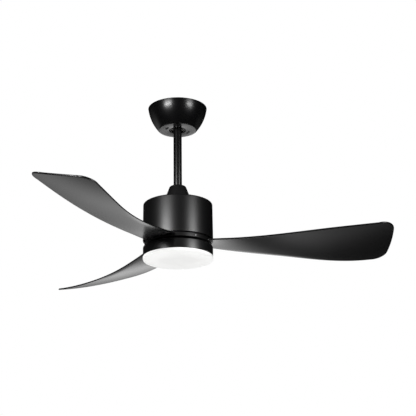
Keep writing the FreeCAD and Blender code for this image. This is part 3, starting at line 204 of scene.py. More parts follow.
def arc_points(start, middle, end, steps):
    """Points of the round arc through three points of a plane."""
    (ax, ay), (bx, by), (cx, cy) = start, middle, end
    double_area = 2 * (ax * (by - cy) + bx * (cy - ay) + cx * (ay - by))
    a_square, b_square, c_square = ax * ax + ay * ay, bx * bx + by * by, cx * cx + cy * cy
    mid_x = (a_square * (by - cy) + b_square * (cy - ay) + c_square * (ay - by)) / double_area
    mid_y = (a_square * (cx - bx) + b_square * (ax - cx) + c_square * (bx - ax)) / double_area
    radius = math.hypot(ax - mid_x, ay - mid_y)
    first = math.atan2(ay - mid_y, ax - mid_x)
    turn_to_middle = (math.atan2(by - mid_y, bx - mid_x) - first) % math.tau
    turn = (math.atan2(cy - mid_y, cx - mid_x) - first) % math.tau
    if turn_to_middle > turn:
        turn -= math.tau
    angles = [first + turn * step / steps for step in range(steps + 1)]
    return [(mid_x + radius * math.cos(a), mid_y + radius * math.sin(a)) for a in angles]


def rounded(points, radii, steps=6):
    """Closed outline whose corners are replaced by round ones."""
    outline = []
    count = len(points)
    for index, (point, radius) in enumerate(zip(points, radii)):
        corner = Vector(point)
        before = Vector(points[index - 1]) - corner
        after = Vector(points[(index + 1) % count]) - corner
        if radius <= 0:
            outline.append(tuple(corner))
            continue
        half = before.angle(after) / 2
        reach = radius / math.tan(half)
        start = corner + before.normalized() * reach
        end = corner + after.normalized() * reach
        centre = corner + (before.normalized() + after.normalized()).normalized() * radius / math.sin(half)
        middle = centre + (corner - centre).normalized() * radius
        outline += arc_points(tuple(start), tuple(middle), tuple(end), steps)
    return outline


def smooth_line(points, count):
    """Points of a smooth curve through a few points, from a natural cubic in u."""
    u = np.array([point[0] for point in points])
    w = np.array([point[1] for point in points])
    gap = np.diff(u)
    size = len(u)
    system = np.eye(size)
    right = np.zeros(size)
    for index in range(1, size - 1):
        system[index, index - 1] = gap[index - 1]
        system[index, index] = 2 * (gap[index - 1] + gap[index])
        system[index, index + 1] = gap[index]
        slope_after = (w[index + 1] - w[index]) / gap[index]
        slope_before = (w[index] - w[index - 1]) / gap[index - 1]
        right[index] = 6 * (slope_after - slope_before)
    bend = np.linalg.solve(system, right)

    def height(position):
        index = int(np.clip(np.searchsorted(u, position) - 1, 0, size - 2))
        to_next, from_last, step = u[index + 1] - position, position - u[index], gap[index]
        value = (bend[index] * to_next ** 3 + bend[index + 1] * from_last ** 3) / (6 * step)
        value += (w[index] / step - bend[index] * step / 6) * to_next
        return value + (w[index + 1] / step - bend[index + 1] * step / 6) * from_last

    return [(position, height(position)) for position in np.linspace(*count)]


# ---------------------------------------------------------------- mesh building

def piece_from_bmesh(name, mesh, smooth_angle=35.0):
    """Object from a bmesh, smooth except across edges sharper than the angle."""
    data = bpy.data.meshes.new(name)
    bmesh.ops.recalc_face_normals(mesh, faces=mesh.faces)
    mesh.to_mesh(data)
    mesh.free()
    data.shade_smooth()
    data.set_sharp_from_angle(angle=math.radians(smooth_angle))
    piece = bpy.data.objects.new(name, data)
    bpy.context.scene.collection.objects.link(piece)
    return piece


def add_lathe(mesh, outline, segments, closed=True):
    """Turns an outline of (radius, height) points about the Z axis into a mesh."""
    rings = []
    for radius, height in outline:
        if radius < 1e-7:
            rings.append([mesh.verts.new((0, 0, height))])
            continue
        ring = []
        for step in range(segments):
            angle = math.tau * step / segments
            ring.append(mesh.verts.new((radius * math.cos(angle), radius * math.sin(angle), height)))
        rings.append(ring)
    pairs = list(zip(rings, rings[1:]))
    if closed:
        pairs.append((rings[-1], rings[0]))
    for low, high in pairs:
        if len(low) == 1 and len(high) == 1:
            continue
        for step in range(segments):
            following = (step + 1) % segments
            corners = [low[step % len(low)], low[following % len(low)],
                       high[following % len(high)], high[step % len(high)]]
            corners = list(dict.fromkeys(corners))
            mesh.faces.new(corners)


def add_prism(mesh, outline, low, high, placed=Matrix.Identity(4)):
    """Adds an upright prism over a closed plan outline."""
    bottom = [mesh.verts.new(placed @ Vector((x, y, low))) for x, y in outline]
    top = [mesh.verts.new(placed @ Vector((x, y, high))) for x, y in outline]
    count = len(outline)
    mesh.faces.new(bottom)
    mesh.faces.new(top)
    for step in range(count):
        following = (step + 1) % count
        mesh.faces.new((bottom[step], bottom[following], top[following], top[step]))


def lathe(name, outline, closed=True, smooth_angle=35.0):
    """Turned piece."""
    mesh = bmesh.new()
    add_lathe(mesh, outline, bpy.context.scene.fan_sizes.segments, closed)
    return piece_from_bmesh(name, mesh, smooth_angle)


def carve(piece, cutter, smooth_angle=35.0):
    """Cuts one piece out of another and keeps the result as plain mesh."""
    cut = piece.modifiers.new("cut", "BOOLEAN")
    cut.operation = "DIFFERENCE"
    cut.solver = "EXACT"
    cut.object = cutter
    depsgraph = bpy.context.evaluated_depsgraph_get()
    result = bpy.data.meshes.new_from_object(piece.evaluated_get(depsgraph))
    piece.modifiers.clear()
    piece.data = result
    piece.data.shade_smooth()
    piece.data.set_sharp_from_angle(angle=math.radians(smooth_angle))
    bpy.data.objects.remove(cutter)
    return piece


def finish_piece(piece, slot, body, node):
    """Gives a piece its slot's finish and the body it rides on, and hides the frame node it stands for."""
    piece.data.materials.clear()
    piece.data.materials.append(slot_finishes()[slot])
    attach(piece, body)
    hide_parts(node)


def wedge_outline(inner, outer, half_angle, azimuth, steps=8):
    """Plan outline of a curved block between two radii."""
    angles = [azimuth - half_angle + 2 * half_angle * step / steps for step in range(steps + 1)]
    far = [(outer * math.cos(a), outer * math.sin(a)) for a in angles]
    near = [(inner * math.cos(a), inner * math.sin(a)) for a in reversed(angles)]
    return far + near


def add_posts(mesh, count, first, circle_radius, low, high, steps=24):
    """Adds round posts, evenly spaced on a circle about the axis."""
    for index in range(count):
        azimuth = math.radians(first + 360 / count * index)
        x, y = circle_radius * math.cos(azimuth), circle_radius * math.sin(azimuth)
        angles = [math.tau * step / steps for step in range(steps)]
        outline = [(x + POST_RADIUS * math.cos(a), y + POST_RADIUS * math.sin(a)) for a in angles]
        add_prism(mesh, outline, low, high)


# ---------------------------------------------------------------- shared shader groups

def new_group(name, inputs, outputs):
    """Empty shader node group with its sockets."""
    group = bpy.data.node_groups.new(name, "ShaderNodeTree")
    for title, kind, value in inputs:
        socket = group.interface.new_socket(title, in_out="INPUT", socket_type=kind)
        socket.default_value = value
    for title, kind in outputs:
        group.interface.new_socket(title, in_out="OUTPUT", socket_type=kind)
    start = group.nodes.new("NodeGroupInput")
    end = group.nodes.new("NodeGroupOutput")
    return group, start, end


def grey_ramp(tree, value, stops):
    """Grey level read from a ramp of positions and levels."""
    ramp = tree.nodes.new("ShaderNodeValToRGB")
    tree.links.new(value, ramp.inputs["Fac"])
    while len(ramp.color_ramp.elements) < len(stops):
        ramp.color_ramp.elements.new(0.5)
    for element, (position, level) in zip(ramp.color_ramp.elements, stops):
        element.position = position
        element.color = (level, level, level, 1)
    return ramp.outputs["Color"]


def math_node(tree, operation, *values):
    """Math node with a link or a number on each input."""
    node = tree.nodes.new("ShaderNodeMath")
    node.operation = operation
    for index, value in enumerate(values):
        if isinstance(value, (int, float)):
            node.inputs[index].default_value = value
        else:
            tree.links.new(value, node.inputs[index])
    return node.outputs[0]


def object_noise(tree, scale, detail=3.0, roughness=0.5, stretch=None):
    """Noise that stays put on the object."""
    place = tree.nodes.new("ShaderNodeTexCoord")
    noise = tree.nodes.new("ShaderNodeTexNoise")
    noise.inputs["Detail"].default_value = detail
    noise.inputs["Roughness"].default_value = roughness
    source = place.outputs["Object"]
    if stretch is not None:
        mapping = tree.nodes.new("ShaderNodeMapping")
        mapping.inputs["Scale"].default_value = stretch
        tree.links.new(source, mapping.inputs["Vector"])
        source = mapping.outputs["Vector"]
    tree.links.new(source, noise.inputs["Vector"])
    if isinstance(scale, (int, float)):
        noise.inputs["Scale"].default_value = scale
    else:
        tree.links.new(scale, noise.inputs["Scale"])
    return noise.outputs["Fac"]


def tone_group():
    """Slow change of colour and roughness over a surface."""
    group = bpy.data.node_groups.get("slow_tone")
    if group:
        return group
    group, start, end = new_group(
        "slow_tone",
        [("Color", "NodeSocketColor", (0.5, 0.5, 0.5, 1)), ("Roughness", "NodeSocketFloat", 0.4),
         ("Scale", "NodeSocketFloat", 9.0), ("Color Change", "NodeSocketFloat", 0.15),
         ("Roughness Change", "NodeSocketFloat", 0.06)],
        [("Color", "NodeSocketColor"), ("Roughness", "NodeSocketFloat")])
    noise = object_noise(group, start.outputs["Scale"], 4.0, 0.6)
    swing = math_node(group, "SUBTRACT", noise, 0.5)
    gain = math_node(group, "MULTIPLY", swing, start.outputs["Color Change"])
    factor = math_node(group, "ADD", math_node(group, "MULTIPLY", gain, 2.0), 1.0)
    scaled = group.nodes.new("ShaderNodeVectorMath")
    scaled.operation = "SCALE"
    group.links.new(start.outputs["Color"], scaled.inputs[0])
    group.links.new(factor, scaled.inputs["Scale"])
    group.links.new(scaled.outputs[0], end.inputs["Color"])
    sheen = math_node(group, "MULTIPLY", swing, start.outputs["Roughness Change"])
    dulled = math_node(group, "ADD", start.outputs["Roughness"], math_node(group, "MULTIPLY", sheen, 2.0))
    group.links.new(dulled, end.inputs["Roughness"])
    return group


def dust_group():
    """Thin dust on faces that look up."""
    group = bpy.data.node_groups.get("settled_dust")
    if group:
        return group
    group, start, end = new_group(
        "settled_dust",
        [("Color", "NodeSocketColor", (0.5, 0.5, 0.5, 1)), ("Roughness", "NodeSocketFloat", 0.4),
         ("Amount", "NodeSocketFloat", 0.05)],
        [("Color", "NodeSocketColor"), ("Roughness", "NodeSocketFloat")])
    geometry = group.nodes.new("ShaderNodeNewGeometry")
    split = group.nodes.new("ShaderNodeSeparateXYZ")
    group.links.new(geometry.outputs["Normal"], split.inputs[0])
    facing = math_node(group, "MAXIMUM", math_node(group, "SUBTRACT", split.outputs["Z"], 0.5), 0.0)
    grains = object_noise(group, 220.0, 5.0, 0.7)
    cover = math_node(group, "MULTIPLY", math_node(group, "MULTIPLY", facing, 2.0), grains)
    mask = math_node(group, "MULTIPLY", cover, start.outputs["Amount"])
    mix = group.nodes.new("ShaderNodeMix")
    mix.data_type = "RGBA"
    mix.inputs["B"].default_value = (0.45, 0.43, 0.40, 1)
    group.links.new(mask, mix.inputs["Factor"])
    group.links.new(start.outputs["Color"], mix.inputs["A"])
    group.links.new(mix.outputs["Result"], end.inputs["Color"])
    dulled = math_node(group, "ADD", start.outputs["Roughness"], math_node(group, "MULTIPLY", mask, 0.6))
    group.links.new(dulled, end.inputs["Roughness"])
    return group


def grain_group():
    """Fine height texture: paint pebble or moulded grain."""
    group = bpy.data.node_groups.get("fine_grain")
    if group:
        return group
    group, start, end = new_group(
        "fine_grain",
        [("Scale", "NodeSocketFloat", 900.0), ("Coarse Share", "NodeSocketFloat", 0.3)],
        [("Height", "NodeSocketFloat")])
    fine = object_noise(group, start.outputs["Scale"], 2.0, 0.5)
    wide_scale = math_node(group, "MULTIPLY", start.outputs["Scale"], 0.18)
    wide = object_noise(group, wide_scale, 2.0, 0.5)
    wide_part = math_node(group, "MULTIPLY", wide, start.outputs["Coarse Share"])
    group.links.new(math_node(group, "ADD", fine, wide_part), end.inputs["Height"])
    return group


def brush_group():
    """Fine lines left by rolling or brushing, along Z or around it."""
    group = bpy.data.node_groups.get("rolled_lines")
    if group:
        return group
    group, start, end = new_group(
        "rolled_lines", [("Scale", "NodeSocketFloat", 60.0)], [("Height", "NodeSocketFloat")])
    lines = object_noise(group, start.outputs["Scale"], 4.0, 0.6, (1.0, 1.0, 22.0))
    group.links.new(lines, end.inputs["Height"])
    return group


def wear_group():
    """Brighter metal on sharp outer edges."""
    group = bpy.data.node_groups.get("edge_wear")
    if group:
        return group
    group, start, end = new_group(
        "edge_wear",
        [("Color", "NodeSocketColor", (0.5, 0.5, 0.5, 1)), ("Amount", "NodeSocketFloat", 0.4)],
        [("Color", "NodeSocketColor")])
    geometry = group.nodes.new("ShaderNodeNewGeometry")
    sharp = math_node(group, "SUBTRACT", geometry.outputs["Pointiness"], 0.53)
    raised = math_node(group, "MAXIMUM", math_node(group, "MULTIPLY", sharp, 12.0), 0.0)
    steep = math_node(group, "MINIMUM", raised, 1.0)
    mask = math_node(group, "MULTIPLY", steep, start.outputs["Amount"])
    mix = group.nodes.new("ShaderNodeMix")
    mix.data_type = "RGBA"
    mix.inputs["B"].default_value = (0.80, 0.80, 0.79, 1)
    group.links.new(mask, mix.inputs["Factor"])
    group.links.new(start.outputs["Color"], mix.inputs["A"])
    group.links.new(mix.outputs["Result"], end.inputs["Color"])
    return group


# ---------------------------------------------------------------- finishes

def use_group(tree, group, values):
    """Places a shared group in a material with its own values."""
    node = tree.nodes.new("ShaderNodeGroup")
    node.node_tree = group
    for title, value in values.items():
        if isinstance(value, bpy.types.NodeSocket):
            tree.links.new(value, node.inputs[title])
        else:
            node.inputs[title].default_value = value
    return node


def finish(name, colour, roughness, metallic=0.0, grain=900.0, bump=0.00002, tone=0.12, gloss_change=0.04,
           dust=0.0, wear=0.0, lines=False, tone_scale=9.0, **sockets):
    """Principled material with slow tone, grain, and dust or wear where they are wanted."""
    material = bpy.data.materials.get(name)
    if material:
        return material
    material = bpy.data.materials.new(name)
    material.use_nodes = True
    tree = material.node_tree
    shader = tree.nodes["Principled BSDF"]
    toned = use_group(tree, tone_group(), {
        "Color": (*colour, 1), "Roughness": roughness, "Scale": tone_scale, "Color Change": tone,
        "Roughness Change": gloss_change})
    tint, rough = toned.outputs["Color"], toned.outputs["Roughness"]
    if wear:
        tint = use_group(tree, wear_group(), {"Color": tint, "Amount": wear}).outputs["Color"]
    if dust:
        dusty = use_group(tree, dust_group(), {"Color": tint, "Roughness": rough, "Amount": dust})
        tint, rough = dusty.outputs["Color"], dusty.outputs["Roughness"]
    tree.links.new(tint, shader.inputs["Base Color"])
    tree.links.new(rough, shader.inputs["Roughness"])
    shader.inputs["Metallic"].default_value = metallic
    for title, value in sockets.items():
        shader.inputs[title.replace("_", " ")].default_value = value
    if lines:
        texture = use_group(tree, brush_group(), {"Scale": grain})
    else:
        texture = use_group(tree, grain_group(), {"Scale": grain, "Coarse Share": 0.3})
    height = tree.nodes.new("ShaderNodeBump")
    height.inputs["Distance"].default_value = bump
    height.inputs["Strength"].default_value = 0.5
    tree.links.new(texture.outputs["Height"], height.inputs["Height"])
    tree.links.new(height.outputs["Normal"], shader.inputs["Normal"])
    return material


def opal_plastic():
    """Opal plastic that glows softly."""
    colour = bpy.context.scene.fan_colours.opal
    material = finish("opal_plastic", colour, 0.38, tone=0.01, grain=300.0, bump=0.000005,
                      Emission_Strength=0.20)
    shader = material.node_tree.nodes["Principled BSDF"]
    shader.inputs["Emission Color"].default_value = (*colour, 1)
    shader.inputs["Subsurface Weight"].default_value = 0.15
    shader.inputs["Subsurface Radius"].default_value = (0.004, 0.004, 0.004)
    return material


def slot_finishes():
    """Finish for each material slot of the frame."""
    colours = bpy.context.scene.fan_colours
    paint, plastic = colours.black_paint, colours.black_plastic
    return {
        "bracket_black": finish("bracket_paint", (0.006, 0.006, 0.006), 0.5, grain=500.0, dust=0.04),
        "zinc_steel": finish("zinc_plate", colours.zinc, 0.38, metallic=1.0, grain=60.0, lines=True,
                             wear=0.3, tone=0.18, tone_scale=40.0, dust=0.04),
        "pin_steel": finish("screw_steel", (0.66, 0.66, 0.67), 0.28, metallic=1.0, grain=400.0,
                            bump=0.00001, wear=0.2),
        "canopy_black": finish("canopy_paint", paint, 0.25, dust=0.03, grain=500.0, bump=0.000001,
                               tone=0.05, gloss_change=0.01, Coat_Weight=0.05, Coat_Roughness=0.2),
        "rod_black": finish("rod_paint", paint, 0.28, grain=500.0, bump=0.000001,
                            Coat_Weight=0.7, Coat_Roughness=0.26),
        "housing_black": finish("housing_paint", paint, 0.37, dust=0.05, grain=500.0, bump=0.000002,
                                Coat_Weight=0.8, Coat_Roughness=0.34),
        "cover_black": finish("cover_plastic", plastic, 0.52, grain=1100.0, bump=0.00003),
        "carrier_black": finish("carrier_paint", paint, 0.42, grain=500.0, bump=0.00003),
        "blade_black": finish("blade_plastic", plastic, 0.25, dust=0.05, grain=500.0, bump=0.000003,
                              tone_scale=5.0),
        "ball_black": finish("ball_plastic", (0.015, 0.015, 0.016), 0.5, grain=700.0),
        "nylon": finish("nylon", (0.72, 0.70, 0.64), 0.45, grain=500.0, Subsurface_Weight=0.1),
        "white_case": finish("white_case", (0.80, 0.80, 0.78), 0.42, grain=800.0, bump=0.00004,
                             tone=0.04, dust=0.06),
        "brass_screw": finish("brass", (0.72, 0.52, 0.22), 0.32, metallic=1.0, grain=300.0, wear=0.2),
        "black_screw": finish("black_oxide", (0.025, 0.025, 0.028), 0.38, metallic=0.6, grain=500.0,
                              wear=0.15),
        "board_green": finish("board_green", (0.015, 0.13, 0.05), 0.3, grain=350.0, tone=0.2,
                              Coat_Weight=0.4),
        "board_white": finish("board_white", (0.84, 0.84, 0.82), 0.3, grain=350.0, tone=0.03,
                              Coat_Weight=0.3),
        "component_dark": finish("component", (0.04, 0.04, 0.045), 0.35, grain=500.0),
        "lamination": finish("lamination", (0.32, 0.32, 0.33), 0.45, metallic=0.9, grain=90.0,
                             lines=True, bump=0.0001),
        "copper": finish("copper_wire", (0.70, 0.30, 0.14), 0.3, metallic=0.9, grain=70.0,
                         lines=True, bump=0.0003),
        "magnet": finish("magnet", (0.11, 0.11, 0.12), 0.4, metallic=0.7, grain=500.0, wear=0.3),
        "bare_aluminium": finish("cast_aluminium", (0.74, 0.75, 0.76), 0.42, metallic=1.0,
                                 grain=450.0, bump=0.00005, wear=0.1),
        "led_yellow": finish("phosphor", (0.88, 0.72, 0.18), 0.4, grain=500.0),
        "opal_white": opal_plastic(),
    }


# ---------------------------------------------------------------- canopy, ball and rod

def canopy_outline(inset):
    """Outer or inner line of the canopy from its rim down to the opening."""
    sizes = bpy.context.scene.fan_sizes
    low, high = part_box("canopy")
    rim = (high.x - inset, high.z)
    height = high.z - low.z
    belly = (sizes.canopy_belly_radius - inset, high.z - height * BELLY_SHARE + inset / 2)
    shoulder = (sizes.canopy_shoulder_radius - inset, high.z - height * SHOULDER_SHARE + inset)
    flat = (sizes.canopy_flat_radius - inset, low.z + inset)
    knee = (flat[0] + (shoulder[0] - flat[0]) * KNEE_OUT_SHARE,
            flat[1] + (shoulder[1] - flat[1]) * KNEE_UP_SHARE)
    return arc_points(rim, belly, shoulder, 40) + arc_points(shoulder, knee, flat, 8)[1:]


def canopy_screw_place():
    """Plan position of the first canopy screw, from the box of the pair."""
    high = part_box("canopy_screws")[1]
    return high.x - CANOPY_SCREW[0], high.y - CANOPY_SCREW[0]


class FAN_OT_canopy(bpy.types.Operator):
    """Adds the canopy with its keyholes"""

    bl_idname = "fan.add_canopy"
    bl_label = "Canopy"

    def execute(self, context):
        sizes = context.scene.fan_sizes
        low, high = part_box("canopy")
        edge = sizes.sheet_edge
        wall = sizes.canopy_wall
        outer = canopy_outline(0)
        inner = canopy_outline(wall)
        opening = sizes.canopy_opening_radius
        line = outer + [(opening, low.z), (opening, low.z + wall)] + inner[::-1]
        radii = [0.0] * len(line)
        for corner in (0, len(outer), len(outer) + 1, len(line) - 1):
            radii[corner] = edge
        canopy = lathe("canopy_shell", rounded(line, radii))
        canopy = carve(canopy, self.keyholes(low.z))
        finish_piece(canopy, "canopy_black", "ceiling_bracket", "canopy")
        return {"FINISHED"}

    def keyholes(self, bottom):
        """Cutter for both keyholes, placed by the screws of the frame."""
        mesh = bmesh.new()
        x, y = canopy_screw_place()
        radius, azimuth = math.hypot(x, y), math.atan2(y, x)
        for side in (0, math.pi):
            outline = self.keyhole_outline(radius, azimuth + side)
            add_prism(mesh, outline, bottom - MM, bottom + KEYHOLE_DEPTH)
        return piece_from_bmesh("keyhole_cutter", mesh)

    def keyhole_outline(self, radius, azimuth):
        """Plan outline of a slot that follows the circle and ends in a round head hole."""
        half, hole, reach = KEYHOLE_HALF_WIDTH, KEYHOLE_RADIUS, radius * KEYHOLE_TURN
        neck = math.asin(half / hole)
        bent = []
        for step in range(13):
            angle = math.pi / 2 + math.pi * step / 12
            bent.append((half * math.cos(angle), half * math.sin(angle)))
        for step in range(25):
            angle = neck - math.pi + (math.tau - 2 * neck) * step / 24
            bent.append((reach + hole * math.cos(angle), hole * math.sin(angle)))
        return [((radius + across) * math.cos(azimuth + along / radius),
                 (radius + across) * math.sin(azimuth + along / radius)) for along, across in bent]


def screw_heads(name, seats, direction_of, head_radius, head_height, thread_radius, thread_length):
    """Domed cross-recess screws, one at each seat, as one piece."""
    outline = [(0, head_height)]
    for step in range(1, 7):
        angle = math.pi / 2 * step / 6
        outline.append((head_radius * math.sin(angle), head_height * (0.35 + 0.65 * math.cos(angle))))
    outline += [(head_radius, 0), (thread_radius, 0), (thread_radius, -thread_length), (0, -thread_length)]
    mesh = bmesh.new()
    add_lathe(mesh, outline, 32, closed=False)
    screw = piece_from_bmesh(name, mesh)
    cutter = bmesh.new()
    arm, width = head_radius * 0.55, head_radius * 0.13
    top, floor = head_height * 1.5, head_height * 0.45
    add_prism(cutter, [(-arm, -width), (arm, -width), (arm, width), (-arm, width)], floor, top)
    add_prism(cutter, [(-width, -arm), (width, -arm), (width, arm), (-width, arm)], floor - 1e-5, top + 1e-5)
    screw = carve(screw, piece_from_bmesh("recess_cutter", cutter))
    joined = bmesh.new()
    for index, seat in enumerate(seats):
        turn = UP.rotation_difference(direction_of(seat)).to_matrix().to_4x4()
        spin = Matrix.Rotation(math.radians(37 * index + 11), 4, "Z")
        copy = screw.data.copy()
        copy.transform(Matrix.Translation(seat) @ turn @ spin)
        joined.from_mesh(copy)
        bpy.data.meshes.remove(copy)
    bpy.data.objects.remove(screw)
    return piece_from_bmesh(name, joined)


class FAN_OT_visible_screws(bpy.types.Operator):
    """Adds the canopy screws and the small screws on the carrier's rim"""

    bl_idname = "fan.add_visible_screws"
    bl_label = "Visible screws"

    def execute(self, context):
        x, y = canopy_screw_place()
        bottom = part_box("canopy")[0].z
        seats = [Vector((x, y, bottom)), Vector((-x, -y, bottom))]
        piece = screw_heads("canopy_screw_pair", seats, lambda seat: -UP, *CANOPY_SCREW)
        finish_piece(piece, "black_screw", "ceiling_bracket", "canopy_screws")
        low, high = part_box("blade_carrier")
        radius, height = high.x, (low.z + high.z) / 2
        first = context.scene.fan_sizes.blade_azimuth + math.pi / 3
        seats = []
        for index in range(3):
            angle = first + math.tau * index / 3
            seats.append(Vector((radius * math.cos(angle), radius * math.sin(angle), height)))
        piece = screw_heads("rim_screw_set", seats,
                            lambda seat: Vector((seat.x, seat.y, 0)).normalized(), *RIM_SCREW)
        finish_piece(piece, "pin_steel", "rotor", "rim_screws")
        return {"FINISHED"}


class FAN_OT_downrod(bpy.types.Operator):
    """Adds the downrod, a drawn tube with softened ends"""

    bl_idname = "fan.add_downrod"
    bl_label = "Downrod"

    def execute(self, context):
        low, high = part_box("downrod")
        radius, bore, edge = high.x, high.x - ROD_WALL, context.scene.fan_sizes.sheet_edge
        outline = rounded([(bore, low.z), (radius, low.z), (radius, high.z), (bore, high.z)], [edge] * 4)
        piece = lathe("downrod_tube", outline)
        finish_piece(piece, "rod_black", "hanging_motor", "downrod")
        return {"FINISHED"}


class FAN_OT_coupling_cover(bpy.types.Operator):
    """Adds the conical cover over the rod's coupling"""

    bl_idname = "fan.add_coupling_cover"
    bl_label = "Coupling cover"

    def execute(self, context):
        sizes = context.scene.fan_sizes
        low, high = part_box("coupling_cover")
        wall, bore, top_radius = COVER_WALL, COVER_BORE, COVER_TOP_RADIUS
        points = [(bore, high.z), (top_radius, high.z), (high.x, low.z), (high.x - wall, low.z),
                  (top_radius - wall, high.z - wall), (bore, high.z - wall)]
        edge = sizes.sheet_edge
        outline = rounded(points, [edge, sizes.cover_shoulder, edge, edge, edge, edge], 10)
        piece = lathe("coupling_cone", outline)
        finish_piece(piece, "cover_black", "cover", "coupling_cover")
        return {"FINISHED"}


# ---------------------------------------------------------------- housing, carrier and light

class FAN_OT_motor_housing(bpy.types.Operator):
    """Adds the motor housing: a drawn drum with a rounded shoulder and a rolled lower edge"""

    bl_idname = "fan.add_motor_housing"
    bl_label = "Motor housing"

    def execute(self, context):
        sizes = context.scene.fan_sizes
        low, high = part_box("motor_housing")
        wall, draft, bore = HOUSING_WALL, HOUSING_DRAFT, HOUSING_BORE
        shoulder = sizes.housing_edge
        edge = sizes.sheet_edge
        points = [(bore, high.z), (high.x - draft, high.z), (high.x, low.z), (high.x - wall, low.z),
                  (high.x - draft - wall, high.z - wall), (bore, high.z - wall)]
        outline = rounded(points, [edge, shoulder, edge * 1.5, edge, shoulder - wall, edge], 10)
        mesh = bmesh.new()
        add_lathe(mesh, outline, sizes.segments)
        add_posts(mesh, 4, 0, HOUSING_POST_CIRCLE, high.z - HOUSING_POST_DROP, high.z - wall)
        piece = piece_from_bmesh("motor_drum", mesh)
        finish_piece(piece, "housing_black", "hanging_motor", "motor_housing")
        return {"FINISHED"}


class FAN_OT_blade_carrier(bpy.types.Operator):
    """Adds the cast carrier with a window for each blade"""

    bl_idname = "fan.add_blade_carrier"
    bl_label = "Blade carrier"

    def execute(self, context):
        low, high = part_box("blade_carrier")
        radius, bore, edge = high.x, CARRIER_BORE, CARRIER_EDGE
        outline = rounded([(bore, low.z), (radius, low.z), (radius, high.z), (bore, high.z)], [edge] * 4)
        piece = lathe("carrier_ring", outline)
        middle = (low.z + high.z) / 2
        mesh = bmesh.new()
        for index in range(3):
            turn = Matrix.Rotation(context.scene.fan_sizes.blade_azimuth + math.tau * index / 3, 4, "Z")
            add_prism(mesh, BLADE_WINDOW, middle - WINDOW_HALF_HEIGHT, middle + WINDOW_HALF_HEIGHT, turn)
        piece = carve(piece, piece_from_bmesh("window_cutter", mesh))
        finish_piece(piece, "carrier_black", "rotor", "blade_carrier")
        return {"FINISHED"}


class FAN_OT_light(bpy.types.Operator):
    """Adds the light housing and the opal lens"""

    bl_idname = "fan.add_light"
    bl_label = "Light"

    def execute(self, context):
        self.add_housing(context.scene.fan_sizes)
        self.add_lens(context.scene.fan_sizes)
        return {"FINISHED"}

    def add_housing(self, sizes):
        """Shallow pan with its posts and lugs."""
        low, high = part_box("light_housing")
        wall, eye, edge = KIT_WALL, KIT_BORE, sizes.sheet_edge
        points = [(eye, high.z), (high.x, high.z), (high.x, low.z), (high.x - wall, low.z),
                  (high.x - wall, high.z - wall), (eye, high.z - wall)]
        outline = rounded(points, [edge, sizes.kit_edge, edge * 1.5, edge, edge, edge], 8)
        mesh = bmesh.new()
        add_lathe(mesh, outline, sizes.segments)
        add_posts(mesh, 3, 30, KIT_POST_CIRCLE, high.z - KIT_POST_DROP, high.z - wall)
        for azimuth in (0, 120, 240):
            lug = wedge_outline(high.x - wall - LUG_DEPTH, high.x - wall / 2, LUG_HALF_ANGLE,
                                math.radians(azimuth))
            add_prism(mesh, lug, low.z + LUG_LIFT, low.z + LUG_TOP)
        piece = piece_from_bmesh("light_pan", mesh)
        finish_piece(piece, "housing_black", "hanging_motor", "light_housing")

    def add_lens(self, sizes):
        """Dish with a rim inside the pan."""
        low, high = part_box("lens")
        radius, wall = high.x, LENS_WALL
        shoulder = low.z + LENS_SHOULDER
        floor = low.z + wall
        rim_out, rim_in = LENS_RIM_OUTER, LENS_RIM_INNER
        points = [(radius, low.z), (radius, shoulder), (radius - wall, shoulder), (radius - wall, floor),
                  (rim_out, floor), (rim_out, high.z), (rim_in, high.z), (rim_in, floor)]
        edge = LENS_LIP_EDGE
        outline = rounded(points, [sizes.lens_edge, edge, edge, 0, 0, edge, edge, 0], 12)
        mesh = bmesh.new()
        add_lathe(mesh, [(0, low.z)] + outline + [(0, floor)], sizes.segments, closed=False)
        for azimuth in (0, 120, 240):
            tab = wedge_outline(TAB_INNER, TAB_OUTER, TAB_HALF_ANGLE, math.radians(azimuth))
            add_prism(mesh, tab, high.z - TAB_HEIGHT, high.z)
        piece = piece_from_bmesh("opal_lens", mesh)
        finish_piece(piece, "opal_white", "diffuser", "lens")


# ---------------------------------------------------------------- blades

def blade_middle(u, w, dish):
    """Height of a blade's middle surface above the middle of the carrier."""
    pitch = np.radians(PITCH - PITCH_RATE * (u - PITCH_U) ** 2)
    middle_w = -SWEEP + SWEEP_RATE * (u - SWEEP_U) ** 2
    middle_z = -SAG + SAG_RATE * (u - SAG_U) ** 2
    half = HALF_CHORD + HALF_CHORD_RATE * (u - BLADE_ROOT_U)
    across = (w - middle_w) / np.cos(pitch)
    depth = dish * (1 - ((BLADE_TIP_U - u) / (BLADE_TIP_U - BLADE_ROOT_U)) ** 2)
    return middle_z - across * np.sin(pitch) - depth * (1 - (across / half) ** 2) * np.cos(pitch)


